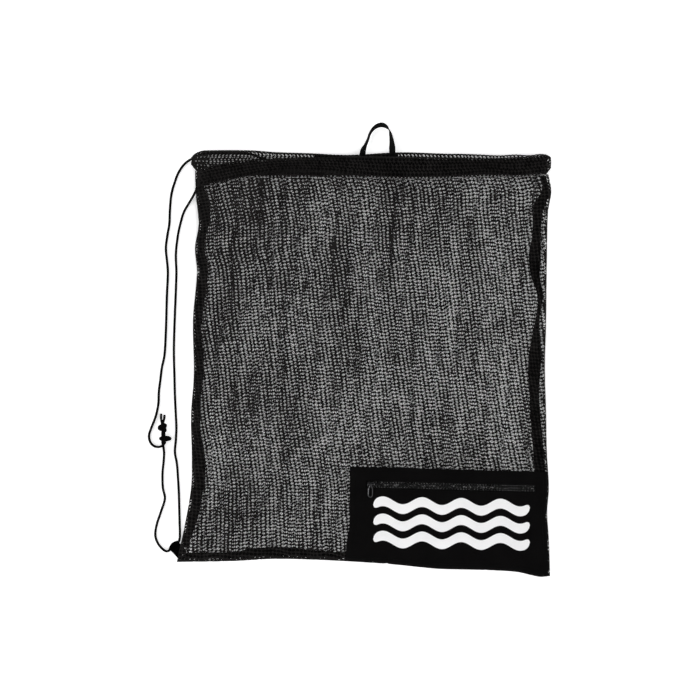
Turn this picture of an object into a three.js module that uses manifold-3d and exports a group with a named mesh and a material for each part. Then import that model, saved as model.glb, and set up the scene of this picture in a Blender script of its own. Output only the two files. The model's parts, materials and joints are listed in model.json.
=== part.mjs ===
// Drawstring mesh bag, lying on its back with the mouth towards +Y and the zipped pocket facing up.
// Millimetres, +Z up, origin under the middle of the bag on the surface it lies on.

import * as THREE from 'three';
import { mergeVertices } from 'three/addons/utils/BufferGeometryUtils.js';
import Module from 'manifold-3d';

const wasm = await Module();
wasm.setup();

// Driving dimensions: cloth and cord
const GAP = 0.3;
const NET_WALL = 1.2;
const TAPE_WALL = 0.8;
const POCKET_WALL = 1;
const CORD_DIAMETER = 4;
const CORD_SIDES = 8;
const CORD_RADIUS = CORD_DIAMETER / 2;
const FLOOR_CLEARANCE = 0.1;
const CORD_LYING = CORD_RADIUS + FLOOR_CLEARANCE;

// Driving dimensions: drawcord casing, a flat tunnel round the mouth
const CASING_DEPTH = 2 * NET_WALL + TAPE_WALL + CORD_DIAMETER + 3 * GAP;
const CASING_END_SEGMENTS = 4;
const CASING_STEP = 26;
const CASING_END_RIGHT = -272;
const CASING_END_STEP = 8;
const BACK_CASING_LEFT = -296;
const FRONT_CASING_LEFT = -285;
const CASING_RIGHT = 325;
const TURN_START = 314;
const CASING_TURN_STEPS = 8;
const MOUTH_RISE = 10;
const MOUTH_HALF_WIDTH = 310;
const BAND_MARGIN = 4.2;
const BACK_BAND_WIDTH = 25;
const BACK_BAND_LEFT = -284;

// Driving dimensions: front panel
const SEAM_HEIGHT = NET_WALL + GAP;
const LOFT = 9.5;
const SEAM_STEP_SHARE = 0.2;
const SEAM_STEP_REACH = 2;
const LOFT_REACH = 45;
const CASING_BLEND = 95;
const CASING_SEAT = 2;
const POCKET_LINE_U = 0.448;
const POCKET_LINE_V = 0.25;

// Driving dimensions: seam bindings
const BINDING_WALL = 1.6;
const BINDING_STEP = 30;

// Driving dimensions: hang loop ribbon
const RIBBON_WIDTH = 11;
const RIBBON_WALL = 1;
const RIBBON_STEPS = 30;

// Driving dimensions: pocket and zip
const POCKET_PUFF = 3.4;
const POCKET_PUFF_REACH = 5;
const ZIP_LEFT = { x: 10.5, y: -235.4 };
const ZIP_RIGHT = { x: 305, y: -243.3 };
const ZIP_WINDOW = 10;
const ZIP_TAPE_WIDTH = 20;
const ZIP_TAPE_TAIL = 8;
const ZIP_SEAT = 0.7;
const ZIP_STEP = 24;
const CUT_HEIGHT = 100;
const CHAIN_WIDTH = 5;
const CHAIN_HEIGHT = 2;
const SLIDER = { along: 7, length: 11, width: 8, plate: 1.2, lowerPlate: 1, postLength: 3, postWidth: 2.4 };
const CROWN = { barRadius: 0.8, barRise: 2.3, legLength: 1.4, legWidth: 2.2, span: 8.6 };
const PULL = { length: 23, neck: 4.4, width: 8.5, wall: 1.6, droop: 9.5, shoulder: 8 };
const PULL_EYE = { inner: 1.1, outer: 1.9, width: 4.4, segments: 16 };

// Driving dimensions: corner tab, a folded tape that holds the cord at the lower left corner
const TAB_FOLD = { x: -327.9, y: -341.6, turn: 42.3 };
const TAB = { width: 20, length: 24, wall: 1, flatFrom: 9, eyeSegments: 12 };
const TAB_ROOT = { x: -313, y: -352, lift: 3, reach: 24 };

// Driving dimensions: knots
const KNOT_TUBE = 1.95;
const KNOT_TUBE_SEGMENTS = 5;
const KNOT_TURN_SEGMENTS = 10;
const KNOT_TILT = 62;
const KNOT_UPPER = { x: -345.1, y: -138.3, z: 7.4, turnRadius: 5.2 };
const KNOT_LOWER = { x: -344.6, y: -155.8, z: 5.8, turnRadius: 3.6 };

// Outline of the lying bag
const LEFT_EDGE = [
  { y: -371, x: -321 }, { y: -306, x: -307 }, { y: -243, x: -296.5 }, { y: -191, x: -295 },
  { y: -117, x: -296.5 }, { y: -44, x: -291.5 }, { y: 51, x: -293 }, { y: 135, x: -286 },
  { y: 177, x: -289.5 }, { y: 219, x: -283 }, { y: 278, x: -288.5 }, { y: 313, x: -289.5 },
];
const RIGHT_EDGE = [
  { y: -396, x: 330 }, { y: -334, x: 328 }, { y: -285, x: 325 }, { y: -243, x: 328 }, { y: -180, x: 324.5 },
  { y: -107, x: 323 }, { y: -33, x: 321 }, { y: 42, x: 323 }, { y: 156, x: 324.5 }, { y: 240, x: 326.5 },
  { y: 276, x: 331.5 }, { y: 305, x: 326 },
];
const BOTTOM_EDGE = [
  { x: -321, y: -371 }, { x: -232, y: -370 }, { x: -148, y: -366 }, { x: -78, y: -367.5 }, { x: -8, y: -371 },
  { x: 62, y: -376 }, { x: 132, y: -383 }, { x: 202, y: -385 }, { x: 272, y: -388.5 }, { x: 312, y: -397 },
  { x: 330, y: -396 },
];
const POCKET_TOP = [{ x: -18.5, y: -213.5 }, { x: 326.5, y: -219 }];

// Long edges of the two runs of the casing
const FRONT_CASING = [
  { x: -285, low: 281, high: 313 }, { x: -250, low: 288, high: 322 }, { x: -205, low: 297, high: 329 },
  { x: -160, low: 305, high: 331 }, { x: -120, low: 308, high: 333 }, { x: -60, low: 306, high: 334 },
  { x: -15, low: 301, high: 335 }, { x: 45, low: 296, high: 335 }, { x: 130, low: 296, high: 334 },
  { x: 172, low: 299, high: 334 }, { x: 225, low: 303, high: 333 }, { x: 267, low: 299, high: 335 },
  { x: 325, low: 305, high: 337 },
];
const BACK_CASING = [
  { x: -296, low: 314, high: 338 }, { x: -288, low: 309, high: 345 }, { x: -272, low: 305, high: 348 },
  { x: -190, low: 301, high: 348 }, { x: -150, low: 300, high: 345 }, { x: -90, low: 300, high: 343 },
  { x: -22, low: 300, high: 340 }, { x: 69, low: 300, high: 344.5 }, { x: 153, low: 300, high: 341 },
  { x: 237, low: 301, high: 338 }, { x: 279, low: 303, high: 339.5 }, { x: 325, low: 305, high: 339 },
];

// Soft lengthwise folds of the front panel: middle line, sideways lean, ends, height and half width
const FOLDS = [
  { x: -232, lean: 14, low: -300, high: 230, height: 2.2, width: 16 },
  { x: -168, lean: -10, low: -330, high: 260, height: 1.6, width: 18 },
  { x: -104, lean: 18, low: -250, high: 270, height: 2.4, width: 17 },
  { x: -42, lean: -8, low: -190, high: 260, height: 1.7, width: 20 },
  { x: 26, lean: 12, low: -180, high: 270, height: 2.2, width: 17 },
  { x: 92, lean: -14, low: -170, high: 260, height: 1.5, width: 21 },
  { x: 158, lean: 10, low: -180, high: 270, height: 2.3, width: 17 },
  { x: 222, lean: -12, low: -170, high: 250, height: 1.8, width: 18 },
  { x: 276, lean: 6, low: -150, high: 210, height: 1.6, width: 16 },
];
const FOLD_LEAN_SPAN = 300;
const FOLD_END = 70;

// Seam bindings inside the bag: where along the seam, inset from the edge, width
const BINDING_LEFT = [
  { at: -333, inset: 4, width: 20 }, { at: -268, inset: 4, width: 19 }, { at: -184, inset: 4, width: 17 },
  { at: -90, inset: 4, width: 13 }, { at: 5, inset: 4, width: 15 }, { at: 47, inset: 4, width: 12 },
  { at: 142, inset: 4, width: 18 }, { at: 173, inset: 5, width: 15 }, { at: 257, inset: 4, width: 18 },
  { at: 274, inset: 4, width: 14 },
];
const BINDING_RIGHT = [
  { at: -374, inset: 4, width: 16 }, { at: -205, inset: 5, width: 14 }, { at: -110, inset: 7, width: 17 },
  { at: -16, inset: 6, width: 22 }, { at: 37, inset: 7, width: 12 }, { at: 79, inset: 6, width: 11 },
  { at: 131, inset: 10, width: 17 }, { at: 173, inset: 9, width: 22 }, { at: 257, inset: 5, width: 19 },
  { at: 278, inset: 4, width: 13 },
];
const BINDING_BOTTOM = [
  { at: -298, inset: 4, width: 18 }, { at: -194, inset: 4, width: 22 }, { at: -106, inset: 4, width: 19 },
  { at: -36, inset: 4, width: 14 }, { at: 130, inset: 4, width: 16 }, { at: 304, inset: 4, width: 16 },
];

// Hang loop: middle of the ribbon and the turn of its width away from level, in degrees
const HANG_LOOP = [
  { x: 3.7, y: 309, z: 8.9, turn: 0 }, { x: 3.7, y: 325, z: 8.9, turn: 0 },
  { x: 3.9, y: 343.5, z: 8.9, turn: 0 }, { x: 8.4, y: 355, z: 8.2, turn: 46 },
  { x: 13.1, y: 366, z: 7, turn: 80 }, { x: 16.6, y: 376.5, z: 6.6, turn: 84 },
  { x: 25.4, y: 387.5, z: 6.3, turn: 66 }, { x: 37.3, y: 391.5, z: 6, turn: 52 },
  { x: 46.4, y: 387.5, z: 6.3, turn: 72 }, { x: 50.6, y: 380, z: 6.6, turn: 92 },
  { x: 52.5, y: 371, z: 7.2, turn: 84 }, { x: 54.2, y: 358, z: 8.3, turn: 40 },
  { x: 55.2, y: 346.5, z: 8.9, turn: 0 }, { x: 55.3, y: 325, z: 8.9, turn: 0 },
  { x: 55.3, y: 309, z: 8.9, turn: 0 },
];

// Cord routes: x, y, and z where the cord is off the surface
const CASING_CORD_BACK = [
  [-295.4, 332.1], [-284, 338], [-272, 341.5], [-230, 342.5], [-193, 340.5], [-165, 331], [-110, 322],
  [0, 318], [150, 318], [260, 320], [TURN_START, 321], [CASING_RIGHT, 321],
];
const CASING_CORD_FRONT = [
  [CASING_RIGHT, 321], [TURN_START, 321], [260, 318], [150, 316], [46, 316], [-60, 320], [-160, 318],
  [-205, 313], [-250, 305], [-284.4, 297.2],
];
const CORD_OUTER = [
  [-296.3, 331.6, 4.5], [-304, 326.4, 3.8], [-311, 319.5, 2.9], [-319.4, 306], [-324.6, 292], [-329, 278],
  [-331.6, 264], [-333.4, 240], [-334.3, 219], [-337.8, 198], [-340.4, 177], [-338.6, 156], [-336.9, 135],
  [-338.6, 93], [-340.4, 30], [-343, -12], [-347.4, -33], [-350, -54], [-352.6, -75], [-353.5, -96],
  [-357.9, -117], [-365.8, -138], [-369, -147], [-369.8, -155], [-366.3, -165], [-360.2, -170],
  [-353.5, -171.3, 3.4], [-347.2, -169.4, 6.5], [-343, -166, 6.9], [-340.9, -161.8, 6.8],
];
const CORD_INNER = [
  [-285.6, 296.9, 11.8], [-290.6, 292.6, 10.6], [-293.8, 283, 8.6], [-296.5, 268, 5.4], [-301.5, 255, 3.2],
  [-309, 239], [-315, 219], [-319.4, 198], [-322.9, 166], [-322, 135], [-322.9, 103], [-324.6, 61],
  [-326.4, -2],
  [-325.5, -44], [-324.6, -80], [-322.9, -117], [-322, -138], [-322.9, -159], [-324.6, -180], [-321.1, -201],
  [-319.4, -222], [-317.6, -254], [-316.8, -285], [-316.2, -306], [-315.8, -322, 2.3], [-316.2, -332, 3],
  [-318, -337, 3.3], [-325.7, -344, 3.3], [-333.2, -350.8, 3.3],
];
const CORD_LOWER = [
  [-346.3, -162.3, 4], [-345.8, -166, 2.5], [-345, -170], [-343.6, -180], [-344.1, -194], [-346.2, -217],
  [-345.6, -243], [-342.1, -261], [-349.1, -285], [-356.1, -306], [-358.8, -322], [-357.9, -331],
  [-353.5, -341], [-347, -348.8], [-341, -353.2, 2.6], [-336.9, -353.4, 3.1], [-333.7, -351.3, 3.3],
];
const KNOT_TAILS = [
  [[-346.6, -132, 7], [-349, -123, 5], [-348.6, -113, 2.6]],
  [[-343.6, -132, 7.2], [-342, -124, 5], [-342.6, -116, 2.6]],
];
const KNOT_NECKS = [
  [[-347, -155.8, 6.2], [-347, -144.9, 6.6]],
  [[-342.6, -155.8, 5.4], [-342.6, -144.9, 6.2]],
];
const KNOT_STUB = [[-342, -155.4, 6], [-335.4, -152.6, 4.6], [-332, -157.4, 3]];

const mix = THREE.MathUtils.lerp;
const radians = THREE.MathUtils.degToRad;

// Smooth curve through the rows of a table, read at any place along one column
function alongTable(rows, at, value) {
  const slopes = rows.map((row, i) => {
    const before = rows[Math.max(i - 1, 0)];
    const after = rows[Math.min(i + 1, rows.length - 1)];
    return (after[value] - before[value]) / (after[at] - before[at]);
  });
  return (place) => {
    let i = 0;
    while (i < rows.length - 2 && place > rows[i + 1][at]) i += 1;
    const span = rows[i + 1][at] - rows[i][at];
    const t = THREE.MathUtils.clamp((place - rows[i][at]) / span, 0, 1);
    const start = rows[i][value] * (1 + 2 * t) + slopes[i] * span * t;
    const end = rows[i + 1][value] * (3 - 2 * t) - slopes[i + 1] * span * (1 - t);
    return start * (1 - t) ** 2 + end * t ** 2;
  };
}

const leftEdge = alongTable(LEFT_EDGE, 'y', 'x');
const rightEdge = alongTable(RIGHT_EDGE, 'y', 'x');
const bottomEdge = alongTable(BOTTOM_EDGE, 'x', 'y');
const frontLow = alongTable(FRONT_CASING, 'x', 'low');
const frontHigh = alongTable(FRONT_CASING, 'x', 'high');
const backLow = alongTable(BACK_CASING, 'x', 'low');
const backHigh = alongTable(BACK_CASING, 'x', 'high');

// Straight line of the pocket's top edge, carried on across the whole panel
function pocketLine(x) {
  const [left, right] = POCKET_TOP;
  return mix(left.y, right.y, (x - left.x) / (right.x - left.x));
}

const frontTop = (x) => frontLow(x) - GAP;
const backTop = (x) => backLow(x) - GAP;

// Underside of the front run of the casing, which arches over the mouth
function frontCasingFloor(x) {
  const arch = Math.cos((Math.PI / 2) * THREE.MathUtils.clamp(x / MOUTH_HALF_WIDTH, -1, 1)) ** 2;
  return CASING_DEPTH + GAP + MOUTH_RISE * arch;
}

// Body with outward faces from points and triangles
function bodyFrom(points, faces) {
  const geometry = new THREE.BufferGeometry().setFromPoints(points);
  let volume = 0;
  for (const [a, b, c] of faces) {
    volume += points[a].dot(new THREE.Vector3().crossVectors(points[b], points[c]));
  }
  geometry.setIndex(faces.flatMap(([a, b, c]) => (volume > 0 ? [a, b, c] : [a, c, b])));
  return geometry;
}

// Thin body between an upper and a lower grid of points, each a list of rows
function sheetBetween(upper, lower) {
  const rows = upper.length;
  const columns = upper[0].length;
  const top = (i, j) => j * columns + i;
  const under = (i, j) => rows * columns + top(i, j);
  const faces = [];
  for (let j = 0; j < rows - 1; j += 1) {
    for (let i = 0; i < columns - 1; i += 1) {
      faces.push([top(i, j), top(i + 1, j), top(i + 1, j + 1)]);
      faces.push([top(i, j), top(i + 1, j + 1), top(i, j + 1)]);
      faces.push([under(i, j), under(i + 1, j + 1), under(i + 1, j)]);
      faces.push([under(i, j), under(i, j + 1), under(i + 1, j + 1)]);
    }
  }
  const rim = [];
  for (let i = 0; i < columns - 1; i += 1) rim.push([i, 0]);
  for (let j = 0; j < rows - 1; j += 1) rim.push([columns - 1, j]);
  for (let i = columns - 1; i > 0; i -= 1) rim.push([i, rows - 1]);
  for (let j = rows - 1; j > 0; j -= 1) rim.push([0, j]);
  rim.forEach((place, k) => {
    const next = rim[(k + 1) % rim.length];
    faces.push([under(...place), under(...next), top(...next)]);
    faces.push([under(...place), top(...next), top(...place)]);
  });
  return bodyFrom([...upper.flat(), ...lower.flat()], faces);
}

// Sheet of even wall over a grid of places, whose underside follows a height function
function sheetOver(grid, underside, wall) {
  const lower = grid.map((row) => row.map(({ x, y }) => new THREE.Vector3(x, y, underside(x, y))));
  const upper = lower.map((row) => row.map((point) => point.clone().setZ(point.z + wall)));
  return sheetBetween(upper, lower);
}

// Faces between neighbouring loops of points in one long list
function loopFaces(first, loops, count, inward) {
  const faces = [];
  for (let s = 0; s < loops - 1; s += 1) {
    for (let k = 0; k < count; k += 1) {
      const a = first + s * count + k;
      const b = first + s * count + ((k + 1) % count);
      const outside = [[a, b, a + count], [b, b + count, a + count]];
      faces.push(...outside.map(([p, q, r]) => (inward ? [p, r, q] : [p, q, r])));
    }
  }
  return faces;
}

// Tunnel open at both ends from matching outer and inner loops
function tunnel(outer, inner) {
  const count = outer[0].length;
  const innerFirst = outer.length * count;
  const faces = loopFaces(0, outer.length, count, false);
  faces.push(...loopFaces(innerFirst, inner.length, count, true));
  const last = (outer.length - 1) * count;
  for (let k = 0; k < count; k += 1) {
    const next = (k + 1) % count;
    faces.push([k, innerFirst + k, next], [next, innerFirst + k, innerFirst + next]);
    faces.push([last + k, last + next, innerFirst + last + k]);
    faces.push([last + next, innerFirst + last + next, innerFirst + last + k]);
  }
  return bodyFrom([...outer.flat(), ...inner.flat()], faces);
}

// Solid strip with flat ends from loops of four corners
function strip(loops) {
  const count = loops[0].length;
  const last = (loops.length - 1) * count;
  const faces = loopFaces(0, loops.length, count, false);
  faces.push([0, 2, 1], [0, 3, 2], [last, last + 1, last + 2], [last, last + 2, last + 3]);
  return bodyFrom(loops.flat(), faces);
}

function solidOf(geometry) {
  const plain = new THREE.BufferGeometry();
  plain.setAttribute('position', geometry.getAttribute('position').clone());
  plain.setIndex(geometry.index);
  const merged = mergeVertices(plain);
  return new wasm.Manifold(new wasm.Mesh({
    numProp: 3,
    vertProperties: new Float32Array(merged.getAttribute('position').array),
    triVerts: new Uint32Array(merged.index.array),
  }));
}

function geometryOf(solid) {
  const { vertProperties, triVerts } = solid.getMesh();
  const geometry = new THREE.BufferGeometry();
  geometry.setAttribute('position', new THREE.BufferAttribute(vertProperties, 3));
  geometry.setIndex(new THREE.BufferAttribute(triVerts, 1));
  return geometry;
}

function joined(geometries) {
  return geometryOf(geometries.map(solidOf).reduce((whole, piece) => whole.add(piece)));
}

function boxAt(x, y, z, length, width, height) {
  return new THREE.BoxGeometry(length, width, height).translate(x, y, z);
}

const MATERIALS = {
  net: new THREE.MeshStandardMaterial({ color: 0x1d1c1d, roughness: 0.8, side: THREE.DoubleSide }),
  tape: new THREE.MeshStandardMaterial({ color: 0x0e0e0f, roughness: 0.85 }),
  cord: new THREE.MeshStandardMaterial({ color: 0x101011, roughness: 0.75 }),
  pocket: new THREE.MeshStandardMaterial({ color: 0x0d0d0e, roughness: 0.7 }),
  zip: new THREE.MeshStandardMaterial({ color: 0x141415, roughness: 0.5 }),
  metal: new THREE.MeshStandardMaterial({ color: 0x1a1a1c, roughness: 0.35, metalness: 0.8 }),
};

const bag = new THREE.Group();
bag.name = 'mesh_bag';

function addPiece(name, geometry, material, parent = bag) {
  const mesh = new THREE.Mesh(geometry, material);
  mesh.name = name;
  parent.add(mesh);
  return mesh;
}

// Evenly spaced values from one end to the other, in steps no longer than asked
function stations(from, to, step) {
  const count = Math.ceil(Math.abs(to - from) / step);
  return Array.from({ length: count + 1 }, (_, i) => mix(from, to, i / count));
}

// Back panel: the flat net wall the bag lies on
function backPanel() {
  const outline = [
    ...stations(-321, 330, 46).map((x) => new THREE.Vector2(x, bottomEdge(x))),
    ...stations(-360, 290, 50).map((y) => new THREE.Vector2(rightEdge(y), y)),
    ...stations(CASING_RIGHT, -286, 46).map((x) => new THREE.Vector2(x, backTop(x))),
    ...stations(290, -345, 50).map((y) => new THREE.Vector2(leftEdge(y), y)),
  ];
  return new THREE.ExtrudeGeometry(new THREE.Shape(outline), { depth: NET_WALL, bevelEnabled: false });
}

// Nearness to the side and bottom seams, rounded where two seams meet
function seamDistance(x, y) {
  const reaches = [x - leftEdge(y), rightEdge(y) - x, y - bottomEdge(x)];
  const nearest = Math.max(Math.min(...reaches), 0);
  if (nearest === 0) return 0;
  return reaches.reduce((sum, reach) => sum + reach ** -4, 0) ** -0.25;
}

function smoothRamp(t) {
  return THREE.MathUtils.smoothstep(t, 0, 1);
}

function foldHeight(x, y) {
  return FOLDS.reduce((sum, fold) => {
    const offset = (x - fold.x - (fold.lean * y) / FOLD_LEAN_SPAN) / fold.width;
    const ends = smoothRamp((y - fold.low) / FOLD_END) * smoothRamp((fold.high - y) / FOLD_END);
    return sum + fold.height * Math.exp(-(offset ** 2)) * ends;
  }, 0);
}

// Underside of the front panel: low at the seams, lofted and folded between them, raised to the casing
function frontUnderside(x, y) {
  const distance = seamDistance(x, y);
  const step = 1 - Math.exp(-distance / SEAM_STEP_REACH);
  const loft = 1 - Math.exp(-distance / LOFT_REACH);
  const rise = mix(loft, step, SEAM_STEP_SHARE);
  const tabReach = Math.hypot(x - TAB_ROOT.x, y - TAB_ROOT.y) / TAB_ROOT.reach;
  const seam = SEAM_HEIGHT + TAB_ROOT.lift * Math.exp(-(tabReach ** 2));
  const body = seam + LOFT * rise + foldHeight(x, y) * loft;
  const casing = frontCasingFloor(x) + CASING_SEAT;
  return mix(body, casing, smoothRamp(1 - (frontTop(x) - y) / CASING_BLEND));
}

// Grid lines of the front panel, close together at the seams, with lines on the pocket's edges
const EDGE_LINES = [0, 0.0065, 0.03, 0.07];
const PANEL_U_STEP = 0.0345;
const PANEL_V_STEP = 0.063;
const farLines = EDGE_LINES.map((line) => 1 - line).reverse();
const PANEL_U = [
  ...EDGE_LINES, ...stations(EDGE_LINES.at(-1), POCKET_LINE_U, PANEL_U_STEP).slice(1),
  ...stations(POCKET_LINE_U, farLines[0], PANEL_U_STEP).slice(1), ...farLines.slice(1),
];
const PANEL_V = [
  ...EDGE_LINES, ...stations(EDGE_LINES.at(-1), POCKET_LINE_V, PANEL_V_STEP).slice(1),
  ...stations(POCKET_LINE_V, 1, PANEL_V_STEP).slice(1),
];

// Place on the front panel for shares across and along it
function panelPlace(u, v) {
  let x = mix(leftEdge(0), rightEdge(0), u);
  let y = 0;
  for (let pass = 0; pass < 12; pass += 1) {
    const below = mix(bottomEdge(x), pocketLine(x), v / POCKET_LINE_V);
    const above = mix(pocketLine(x), frontTop(x), (v - POCKET_LINE_V) / (1 - POCKET_LINE_V));
    y = v < POCKET_LINE_V ? below : above;
    x = mix(leftEdge(y), rightEdge(y), u);
  }
  return { x, y };
}

function panelGrid(acrossLines, alongLines) {
  return alongLines.map((v) => acrossLines.map((u) => panelPlace(u, v)));
}

// Section of the casing tunnel: a flat loop with round ends, between two y values
function casingLoop(low, high, depth) {
  const radius = depth / 2;
  const loop = [];
  for (const [centre, from] of [[high - radius, 0], [low + radius, Math.PI]]) {
    for (let k = 0; k <= CASING_END_SEGMENTS; k += 1) {
      const angle = from + (Math.PI * k) / CASING_END_SEGMENTS;
      loop.push({ y: centre + radius * Math.sin(angle), rise: radius * Math.cos(angle) });
    }
  }
  return loop;
}

// Casing run through places along it, each with its edges, its middle and the turn of its section
function casingRun(places) {
  const loopsAt = (inset) => places.map(({ x, z, turn, low, high }) => {
    const loop = casingLoop(low + inset, high - inset, CASING_DEPTH - 2 * inset);
    const side = Math.sin(turn);
    const up = Math.cos(turn);
    return loop.map(({ y, rise }) => new THREE.Vector3(x + rise * side, y, z + rise * up));
  });
  return tunnel(loopsAt(0), loopsAt(NET_WALL));
}

function backCasing() {
  const end = stations(BACK_CASING_LEFT, CASING_END_RIGHT, CASING_END_STEP);
  const middle = stations(CASING_END_RIGHT, CASING_RIGHT - GAP, CASING_STEP).slice(1);
  return casingRun([...end, ...middle].map((x) => ({
    x, z: CASING_DEPTH / 2, turn: 0, low: backLow(x), high: backHigh(x),
  })));
}

// Front run, which folds over at the right side seam to meet the back run
const TURN_RADIUS = (CASING_DEPTH + GAP) / 2;
const TURN_HEIGHT = CASING_DEPTH + GAP / 2;

function frontCasing() {
  const straight = stations(FRONT_CASING_LEFT, CASING_RIGHT, CASING_STEP).map((x) => ({
    x, z: frontCasingFloor(x) + CASING_DEPTH / 2, turn: 0, low: frontLow(x), high: frontHigh(x),
  }));
  const fold = stations(0, 1, 1 / CASING_TURN_STEPS).slice(1).map((share) => ({
    x: CASING_RIGHT + TURN_RADIUS * Math.sin(Math.PI * share),
    z: TURN_HEIGHT + TURN_RADIUS * Math.cos(Math.PI * share),
    turn: Math.PI * share,
    low: mix(frontLow(CASING_RIGHT), backLow(CASING_RIGHT), share),
    high: mix(frontHigh(CASING_RIGHT), backHigh(CASING_RIGHT), share),
  }));
  return casingRun([...straight, ...fold]);
}

// Black tape that lines a run of the casing
function casingBand(left, right, low, high, underside) {
  const lines = stations(left, right, CASING_STEP);
  const grid = [low, high].map((edge) => lines.map((x) => ({ x, y: edge(x) })));
  return sheetOver(grid, underside, TAPE_WALL);
}

// Bound seam allowance inside the bag, along one edge
function sideBinding(rows, edge, towards) {
  const inset = alongTable(rows, 'at', 'inset');
  const width = alongTable(rows, 'at', 'width');
  const grid = stations(rows[0].at, rows.at(-1).at, BINDING_STEP).map((y) => {
    const outer = edge(y) + towards * inset(y);
    const inner = outer + towards * width(y);
    return [Math.min(outer, inner), Math.max(outer, inner)].map((x) => ({ x, y }));
  });
  return sheetOver(grid, () => SEAM_HEIGHT, BINDING_WALL);
}

function bottomBinding() {
  const inset = alongTable(BINDING_BOTTOM, 'at', 'inset');
  const width = alongTable(BINDING_BOTTOM, 'at', 'width');
  const lines = stations(BINDING_BOTTOM[0].at, BINDING_BOTTOM.at(-1).at, BINDING_STEP);
  const lower = lines.map((x) => ({ x, y: bottomEdge(x) + inset(x) }));
  const upper = lower.map(({ x, y }) => ({ x, y: y + width(x) }));
  return sheetOver([lower, upper], () => SEAM_HEIGHT, BINDING_WALL);
}

// Hang loop: a flat ribbon that turns as it goes round, both ends sewn inside the mouth
function hangLoop() {
  const middles = HANG_LOOP.map(({ x, y, z }) => new THREE.Vector3(x, y, z));
  const path = new THREE.CatmullRomCurve3(middles, false, 'centripetal');
  const turns = HANG_LOOP.map(({ turn }, i) => ({ at: i / (HANG_LOOP.length - 1), turn }));
  const turnAt = alongTable(turns, 'at', 'turn');
  const loops = stations(0, 1, 1 / RIBBON_STEPS).map((t) => {
    const middle = path.getPoint(t);
    const along = path.getTangent(t);
    const level = new THREE.Vector3(along.y, -along.x, 0).normalize();
    const across = level.clone().applyAxisAngle(along, radians(turnAt(t))).multiplyScalar(RIBBON_WIDTH / 2);
    const face = new THREE.Vector3().crossVectors(along, across).setLength(RIBBON_WALL / 2);
    return [[1, 1], [1, -1], [-1, -1], [-1, 1]].map(([a, f]) =>
      middle.clone().addScaledVector(across, a).addScaledVector(face, f));
  });
  return strip(loops);
}

// Pocket: a cloth panel sewn over the lower right of the front panel, lifted a little between its seams
function pocketUnderside(x, y) {
  const height = (y - bottomEdge(x)) / (pocketLine(x) - bottomEdge(x));
  const leftOfPocket = panelPlace(POCKET_LINE_U, POCKET_LINE_V * height).x;
  const reaches = [x - leftOfPocket, rightEdge(y) - x, y - bottomEdge(x), pocketLine(x) - y];
  const nearest = Math.max(Math.min(...reaches), 0);
  const puff = POCKET_PUFF * (1 - Math.exp(-nearest / POCKET_PUFF_REACH));
  return frontUnderside(x, y) + NET_WALL + GAP + puff;
}

const zipTurn = Math.atan2(ZIP_RIGHT.y - ZIP_LEFT.y, ZIP_RIGHT.x - ZIP_LEFT.x);
const zipLength = Math.hypot(ZIP_RIGHT.x - ZIP_LEFT.x, ZIP_RIGHT.y - ZIP_LEFT.y);

// Place at a distance along the zip from its left end and a distance across it
function zipPlace(along, across) {
  return {
    x: ZIP_LEFT.x + along * Math.cos(zipTurn) - across * Math.sin(zipTurn),
    y: ZIP_LEFT.y + along * Math.sin(zipTurn) + across * Math.cos(zipTurn),
  };
}

// Block that cuts a slot along the zip line right through the cloth
function zipCutter(along, length, width) {
  const place = zipPlace(along, 0);
  const block = new THREE.BoxGeometry(length, width, CUT_HEIGHT);
  return solidOf(block.rotateZ(zipTurn).translate(place.x, place.y, 0));
}

const zipTapeTop = (x, y) => pocketUnderside(x, y) - ZIP_SEAT;

function pocketPanel() {
  const seamLines = [0.01, 0.025];
  const across = [
    POCKET_LINE_U, ...seamLines.map((line) => POCKET_LINE_U + line),
    ...PANEL_U.filter((u) => u > POCKET_LINE_U + seamLines.at(-1)),
  ];
  const along = [
    ...PANEL_V.filter((v) => v < POCKET_LINE_V - seamLines.at(-1)),
    ...seamLines.map((line) => POCKET_LINE_V - line).reverse(), POCKET_LINE_V,
  ];
  const cloth = solidOf(sheetOver(panelGrid(across, along), pocketUnderside, POCKET_WALL));
  return geometryOf(cloth.subtract(zipCutter(zipLength / 2, zipLength, ZIP_WINDOW)));
}

// Strip along the zip between two distances, as wide as asked
function zipStrip(from, to, width, underside, wall) {
  const lines = stations(from, to, ZIP_STEP);
  const grid = [-width / 2, 0, width / 2].map((across) => lines.map((along) => zipPlace(along, across)));
  return sheetOver(grid, underside, wall);
}

// Zip tape, slit at its left end for the slider's post
function zipTape() {
  const tape = solidOf(zipStrip(-ZIP_TAPE_TAIL, zipLength + ZIP_TAPE_TAIL, ZIP_TAPE_WIDTH,
    (x, y) => zipTapeTop(x, y) - TAPE_WALL, TAPE_WALL));
  const slitLength = ZIP_TAPE_TAIL + SLIDER.along;
  const slitMiddle = slitLength / 2 - ZIP_TAPE_TAIL - GAP;
  return geometryOf(tape.subtract(zipCutter(slitMiddle, slitLength, SLIDER.postWidth + 2 * GAP)));
}

// Slider: two plates on a post, with a crown bar over the upper plate that carries the pull
const SLIDER_TOP = GAP + CHAIN_HEIGHT + GAP;
const CROWN_HEIGHT = SLIDER_TOP + SLIDER.plate + CROWN.barRise;

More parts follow.
